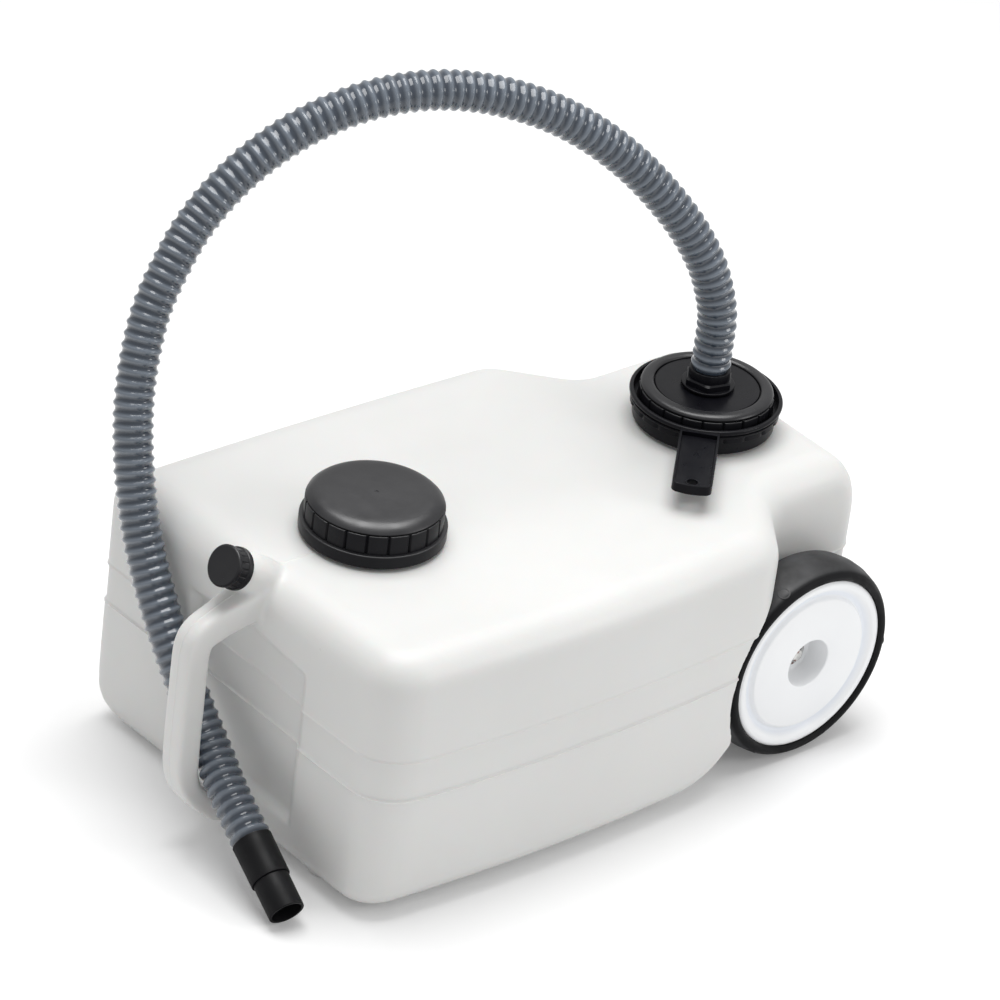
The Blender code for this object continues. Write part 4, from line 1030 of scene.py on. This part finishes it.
def make_wrench():
    inner = WRENCH_LIP_RADIUS - 0.0035
    ledge = SKIRT_RADIUS + 0.0006

    def notches(r, z, turn):
        if z > WRENCH_TOP - 0.0078 or r < WRENCH_FOOT_RADIUS - 0.0016:
            return r
        return slotted(r, turn, RIB_COUNT, WRENCH_FOOT_RADIUS, 0.0010, 0.0020, 0.0011)

    lip = shifted(WRENCH_LIP_RADIUS, WRENCH_TOP, [
        (-0.0008, 0, 0.0008), (0, -0.0016, 0.0010), (-0.0004, -0.0032, 0.0006)])
    wall = shifted(WRENCH_FOOT_RADIUS, WRENCH_TOP, [
        (-0.0014, -0.0040, 0.0003), (-0.0014, -0.0050, 0.0003), (0.0001, -0.0056, 0.0004),
        (0.0001, -0.0066, 0.0004), (-0.0010, -0.0074, 0.0003), (-0.0010, -0.0080, 0)])
    ring = lathe("wrench_ring", [(inner, WRENCH_TOP, 0.0006)] + lip + wall + [
        (WRENCH_FOOT_RADIUS - 0.0004, WRENCH_LOW, 0.0006), (ledge, WRENCH_LOW, 0.0003),
        (ledge, WRENCH_LOW + 0.0025, 0.0003), (inner, WRENCH_LOW + 0.0025, 0)], 240, shape=notches)
    top = WRENCH_TOP - 0.001
    low = top - 0.0085
    slab = lever_slab(WRENCH_LIP_RADIUS - 0.002, [
        (0.0006, low), (0.0, low + 0.0006), (0.0, top - 0.0005), (0.0005, top)])
    tray = lever_slab(WRENCH_LIP_RADIUS + 0.0022, [
        (0.0024, top - 0.0034), (0.0020, top - 0.0030), (0.0017, top + 0.0003), (0.0016, top + 0.004)])
    hole = moved(drum("lever_hole", LEVER_HOLE, 0.02, -0.02, 32), at(LEVER_HOLE_X, 0, low))
    lever = cut(slab, tray, hole)
    boss = lathe("hole_boss", [
        (LEVER_HOLE, top - 0.0027, 0), (LEVER_HOLE + 0.0012, top - 0.0027, 0.0004),
        (LEVER_HOLE + 0.0014, top - 0.0037, 0), (LEVER_HOLE, top - 0.0037, 0)], 32)
    lever = joined("lever", lever, moved(boss, at(LEVER_HOLE_X)))
    lever = moved(lever, Matrix.Rotation(LEVER_ANGLE, 4, "Z"))
    return moved(shaded(joined("wrench", ring, lever), 32), at(OUTLET_X))


add_piece("ring_wrench", make_wrench(), "wrench", "fitting", ["cap_wrench"])

# -------- vent


def make_vent_cap():
    def knurl(r, z, turn):
        if z > -0.0042 or z < -0.0115 or r < 0.0135:
            return r
        return slotted(r, turn, 18, VENT_CAP_RADIUS, 0.0005, 0.0011, 0.0009)

    bore = 0.0117 + 0.0006
    profile = [
        (0, -0.0004, 0), (0.0120, -0.0003, 0),
        *shifted(VENT_CAP_RADIUS, 0, [
            (-0.0006, 0, 0.0006), (0.0006, -0.0008, 0.0005), (0.0006, -0.0036, 0.0005), (-0.0006, -0.0042, 0),
            (-0.0004, -0.0080, 0), (-0.0002, -0.0115, 0), (0.0008, -0.0120, 0.0004),
            (0.0009, -VENT_CAP_LENGTH, 0.0007)]),
        (bore, -VENT_CAP_LENGTH, 0.0003), (bore, -0.0022, 0), (0, -0.0022, 0)]
    return moved(lathe("vent_screw_cap", profile, 180, closed=False, shape=knurl), on_vent())


add_piece("vent_screw_cap", make_vent_cap(), "vent_cap", "cap", ["vent_cap"])

# -------- wheels


def make_rim(side):
    disc_y = RIM_OUTER_Y - 0.0015
    web_y = disc_y - 0.0082
    cup_y = HUB_FLOOR_Y - 0.003
    back = WHEEL_INNER_Y + 0.0018
    profile = [
        (AXLE_BORE, HUB_FLOOR_Y, 0.0003), (HUB_RECESS_RADIUS - 0.0008, HUB_FLOOR_Y, 0.0016),
        (HUB_RECESS_RADIUS, disc_y, 0.0012), (0.0400, disc_y + 0.0003, 0), (0.0566, disc_y, 0.0015),
        (0.0582, disc_y - 0.0036, 0.0016), (0.0612, disc_y - 0.0036, 0.0012),
        (0.0668, RIM_OUTER_Y - 0.0002, 0.0022), (0.0706, RIM_OUTER_Y, 0.0010),
        (RIM_RADIUS, RIM_OUTER_Y - 0.0014, 0.0008), (RIM_RADIUS, back, 0.0006),
        (RIM_RADIUS - 0.004, back, 0.0006), (RIM_RADIUS - 0.004, web_y, 0.002), (0.0235, web_y, 0.002),
        (0.0235, cup_y, 0.001), (0.011, cup_y, 0.001),
        (0.011, WHEEL_INNER_Y + SEAT_GAP, 0.0005), (AXLE_BORE, WHEEL_INNER_Y + SEAT_GAP, 0)]
    rim = lathe("rim", profile, 144)
    ribs = []
    for i in range(10):
        rib = bmesh.new()
        bmesh.ops.create_cube(rib, size=1.0)
        bmesh.ops.scale(rib, vec=(0.046, 0.0022, web_y - back - 0.006), verts=rib.verts)
        bmesh.ops.translate(rib, vec=(0.046, 0, (web_y + back + 0.006) / 2), verts=rib.verts)
        bmesh.ops.bevel(rib, geom=rib.edges[:], offset=0.0004, segments=2, affect="EDGES", profile=0.5)
        mesh = bpy.data.meshes.new("rib")
        rib.to_mesh(mesh)
        rib.free()
        ribs.append(moved(mesh, Matrix.Rotation(tau * i / 10, 4, "Z")))
    mesh = shaded(joined("rim_mesh", rim, *ribs), 35)
    # Mark the groove, where the rim gets its painted shade.
    mark_radius(mesh, "groove_shade", 0.0588, 0.0644, disc_y - 0.006)
    return moved(mesh, on_axle(side))


def mark_radius(mesh, name, inner, outer, low):
    """A point attribute that is 1 between two radii, above a height."""
    values = []
    for v in mesh.vertices:
        r = hypot(v.co.x, v.co.y)
        inside = smoothstep(min(r - inner, outer - r), -0.0008, 0.0008)
        values.append(inside if v.co.z > low else 0.0)
    mesh.attributes.new(name, "FLOAT", "POINT").data.foreach_set("value", values)


def make_tyre(side):
    inside = RIM_RADIUS + SEAT_GAP
    middle = (WHEEL_INNER_Y + WHEEL_OUTER_Y) / 2
    edge = WHEEL_RADIUS - 0.0022
    half = [(inside, 0.002, 0.0003), (inside + 0.0016, 0.0002, 0.0010), (edge - 0.0045, 0, 0.0022),
            (edge - 0.0004, 0.0046, 0.0028), (edge + 0.0010, 0.0110, 0.001)]
    profile = [(r, WHEEL_OUTER_Y - depth, rounding) for r, depth, rounding in half]
    profile += [(WHEEL_RADIUS, middle + away, 0) for away in (0.004, 0, -0.004)]
    profile += [(r, WHEEL_INNER_Y + depth, rounding) for r, depth, rounding in reversed(half)]
    tyre = lathe("tyre", profile, 160)
    marks = []
    for i in range(3):
        ring = lathe("mark", [(0.0040, 0.00030, 0.0001), (0.0050, 0.00030, 0.0001), (0.0052, -0.0012, 0),
                              (0.0038, -0.0012, 0)], 28)
        round_tyre = Matrix.Rotation(radians(-side * 116 + 120 * i), 4, "Z")
        on_edge = at(edge, 0, WHEEL_OUTER_Y - 0.0074) @ Matrix.Rotation(radians(77.7), 4, "Y")
        marks.append(moved(ring, round_tyre @ on_edge))
    mesh = shaded(joined("tyre_mesh", tyre, *marks), 40)
    mark_radius(mesh, "tread", edge - 0.0012, WHEEL_RADIUS + 0.01, WHEEL_INNER_Y)
    return moved(mesh, on_axle(side))


def make_star_nut(side):
    """A pressed star washer: a rim with teeth that bite the axle."""
    low = HUB_FLOOR_Y + 2 * SEAT_GAP + 0.0015
    steps = 96
    points = []
    rows = [(0.0110, low), (0.0110, low + 0.0009), (0.0092, low + 0.0012), (0.0058, low + 0.0024),
            (0.0058, low + 0.0016), (0.0090, low + 0.0004), (0.0100, low)]
    for r, z in rows:
        for k in range(steps):
            turn = tau * k / steps
            gap = 0.5 - 0.5 * cos(8 * turn)
            shift = 0.0016 * smoothstep(gap, 0.62, 0.80) if r < 0.0085 else 0.0
            points.append(((r + shift) * cos(turn), (r + shift) * sin(turn), z))
    faces = ring_faces(rows_of(len(rows), steps), closed=True)
    return moved(make_mesh("star_nut", points, faces, 40), on_axle(side))


for side, word in ((-1, "left"), (1, "right")):
    body = "wheel_" + word
    add_piece("moulded_rim_" + word, make_rim(side), body, "rim", ["wheel_rim_" + word])
    add_piece("smooth_tyre_" + word, make_tyre(side), body, "tyre", ["tyre_" + word])
    add_piece("star_washer_" + word, make_star_nut(side), "tank", "steel", ["push_nut_" + word])


def make_axle():
    profile = [(0, AXLE_END_Y, 0), (AXLE_RADIUS, AXLE_END_Y, 0.0008), (AXLE_RADIUS, -AXLE_END_Y, 0.0008),
               (0, -AXLE_END_Y, 0)]
    return moved(lathe("steel_axle", profile, 48, closed=False), on_axle(1))


add_piece("steel_axle", make_axle(), "tank", "steel", ["axle"])

# -------- CAD nodes that stay

KEPT = {
    "seal": ["filler_cap_seal", "outlet_disc_seal", "fitting_washer", "vent_cap_seal"],
    "cap": ["outlet_slip_ring", "fitting_locknut", "inner_spacer_left", "inner_spacer_right"],
    "steel": ["outer_washer_left", "outer_washer_right"],
}
for look, nodes in KEPT.items():
    for node in nodes:
        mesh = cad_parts[node].data
        mesh.materials.clear()
        mesh.materials.append(LOOKS[look])

# -------- floor and light

FLOOR_GLOW = 0.09
WORLD_STRENGTH = 0.553


def make_floor():
    """A white floor that the camera sees glow a little."""
    mesh = bpy.data.meshes.new("floor")
    mesh.from_pydata([(-8, -8, 0), (8, -8, 0), (8, 8, 0), (-8, 8, 0)], [], [(0, 1, 2, 3)])
    floor = in_scene("floor", mesh)
    material = bpy.data.materials.new("floor_white")
    material.use_nodes = True
    nodes, link = material.node_tree.nodes, material.node_tree.links.new
    shader = nodes["Principled BSDF"]
    shader.inputs["Base Color"].default_value = (0.88, 0.88, 0.88, 1)
    shader.inputs["Roughness"].default_value = 0.9
    shader.inputs["Specular IOR Level"].default_value = 0.1
    rays = nodes.new("ShaderNodeLightPath")
    glow = nodes.new("ShaderNodeEmission")
    add = nodes.new("ShaderNodeAddShader")
    strength = nodes.new("ShaderNodeMath")
    strength.operation = "MULTIPLY"
    strength.inputs[1].default_value = FLOOR_GLOW
    link(rays.outputs["Is Camera Ray"], strength.inputs[0])
    link(strength.outputs["Value"], glow.inputs["Strength"])
    link(shader.outputs["BSDF"], add.inputs[0])
    link(glow.outputs["Emission"], add.inputs[1])
    link(add.outputs["Shader"], nodes["Material Output"].inputs["Surface"])
    mesh.materials.append(material)


def make_world():
    """White behind the object, and a weaker light from all round."""
    world = bpy.data.worlds.new("studio")
    world.use_nodes = True
    bpy.context.scene.world = world
    nodes, link = world.node_tree.nodes, world.node_tree.links.new
    background = nodes["Background"]
    rays = nodes.new("ShaderNodeLightPath")
    white = nodes.new("ShaderNodeBackground")
    white.inputs["Strength"].default_value = 1.0
    mix = nodes.new("ShaderNodeMixShader")
    link(rays.outputs["Is Camera Ray"], mix.inputs["Fac"])
    link(background.outputs["Background"], mix.inputs[1])
    link(white.outputs["Background"], mix.inputs[2])
    link(mix.outputs["Shader"], nodes["World Output"].inputs["Surface"])
    background.inputs["Color"].default_value = (1, 1, 1, 1)
    background.inputs["Strength"].default_value = WORLD_STRENGTH


def add_light(name, place, target, size, power):
    data = bpy.data.lights.new(name, "AREA")
    data.shape = "RECTANGLE"
    data.size, data.size_y = size
    data.energy = power
    light = in_scene(name, data)
    light.location = place
    light.rotation_euler = (Vector(target) - Vector(place)).to_track_quat("-Z", "Y").to_euler()


make_floor()
make_world()
add_light("overhead", (0.10, 0.22, 2.3), (0, 0, 0.1), (1.9, 1.5), 44.5)
add_light("front", (1.2, -1.7, 1.1), (0.1, 0, 0.12), (0.8, 0.6), 7.4)
bpy.context.scene.view_settings.view_transform = "Standard"
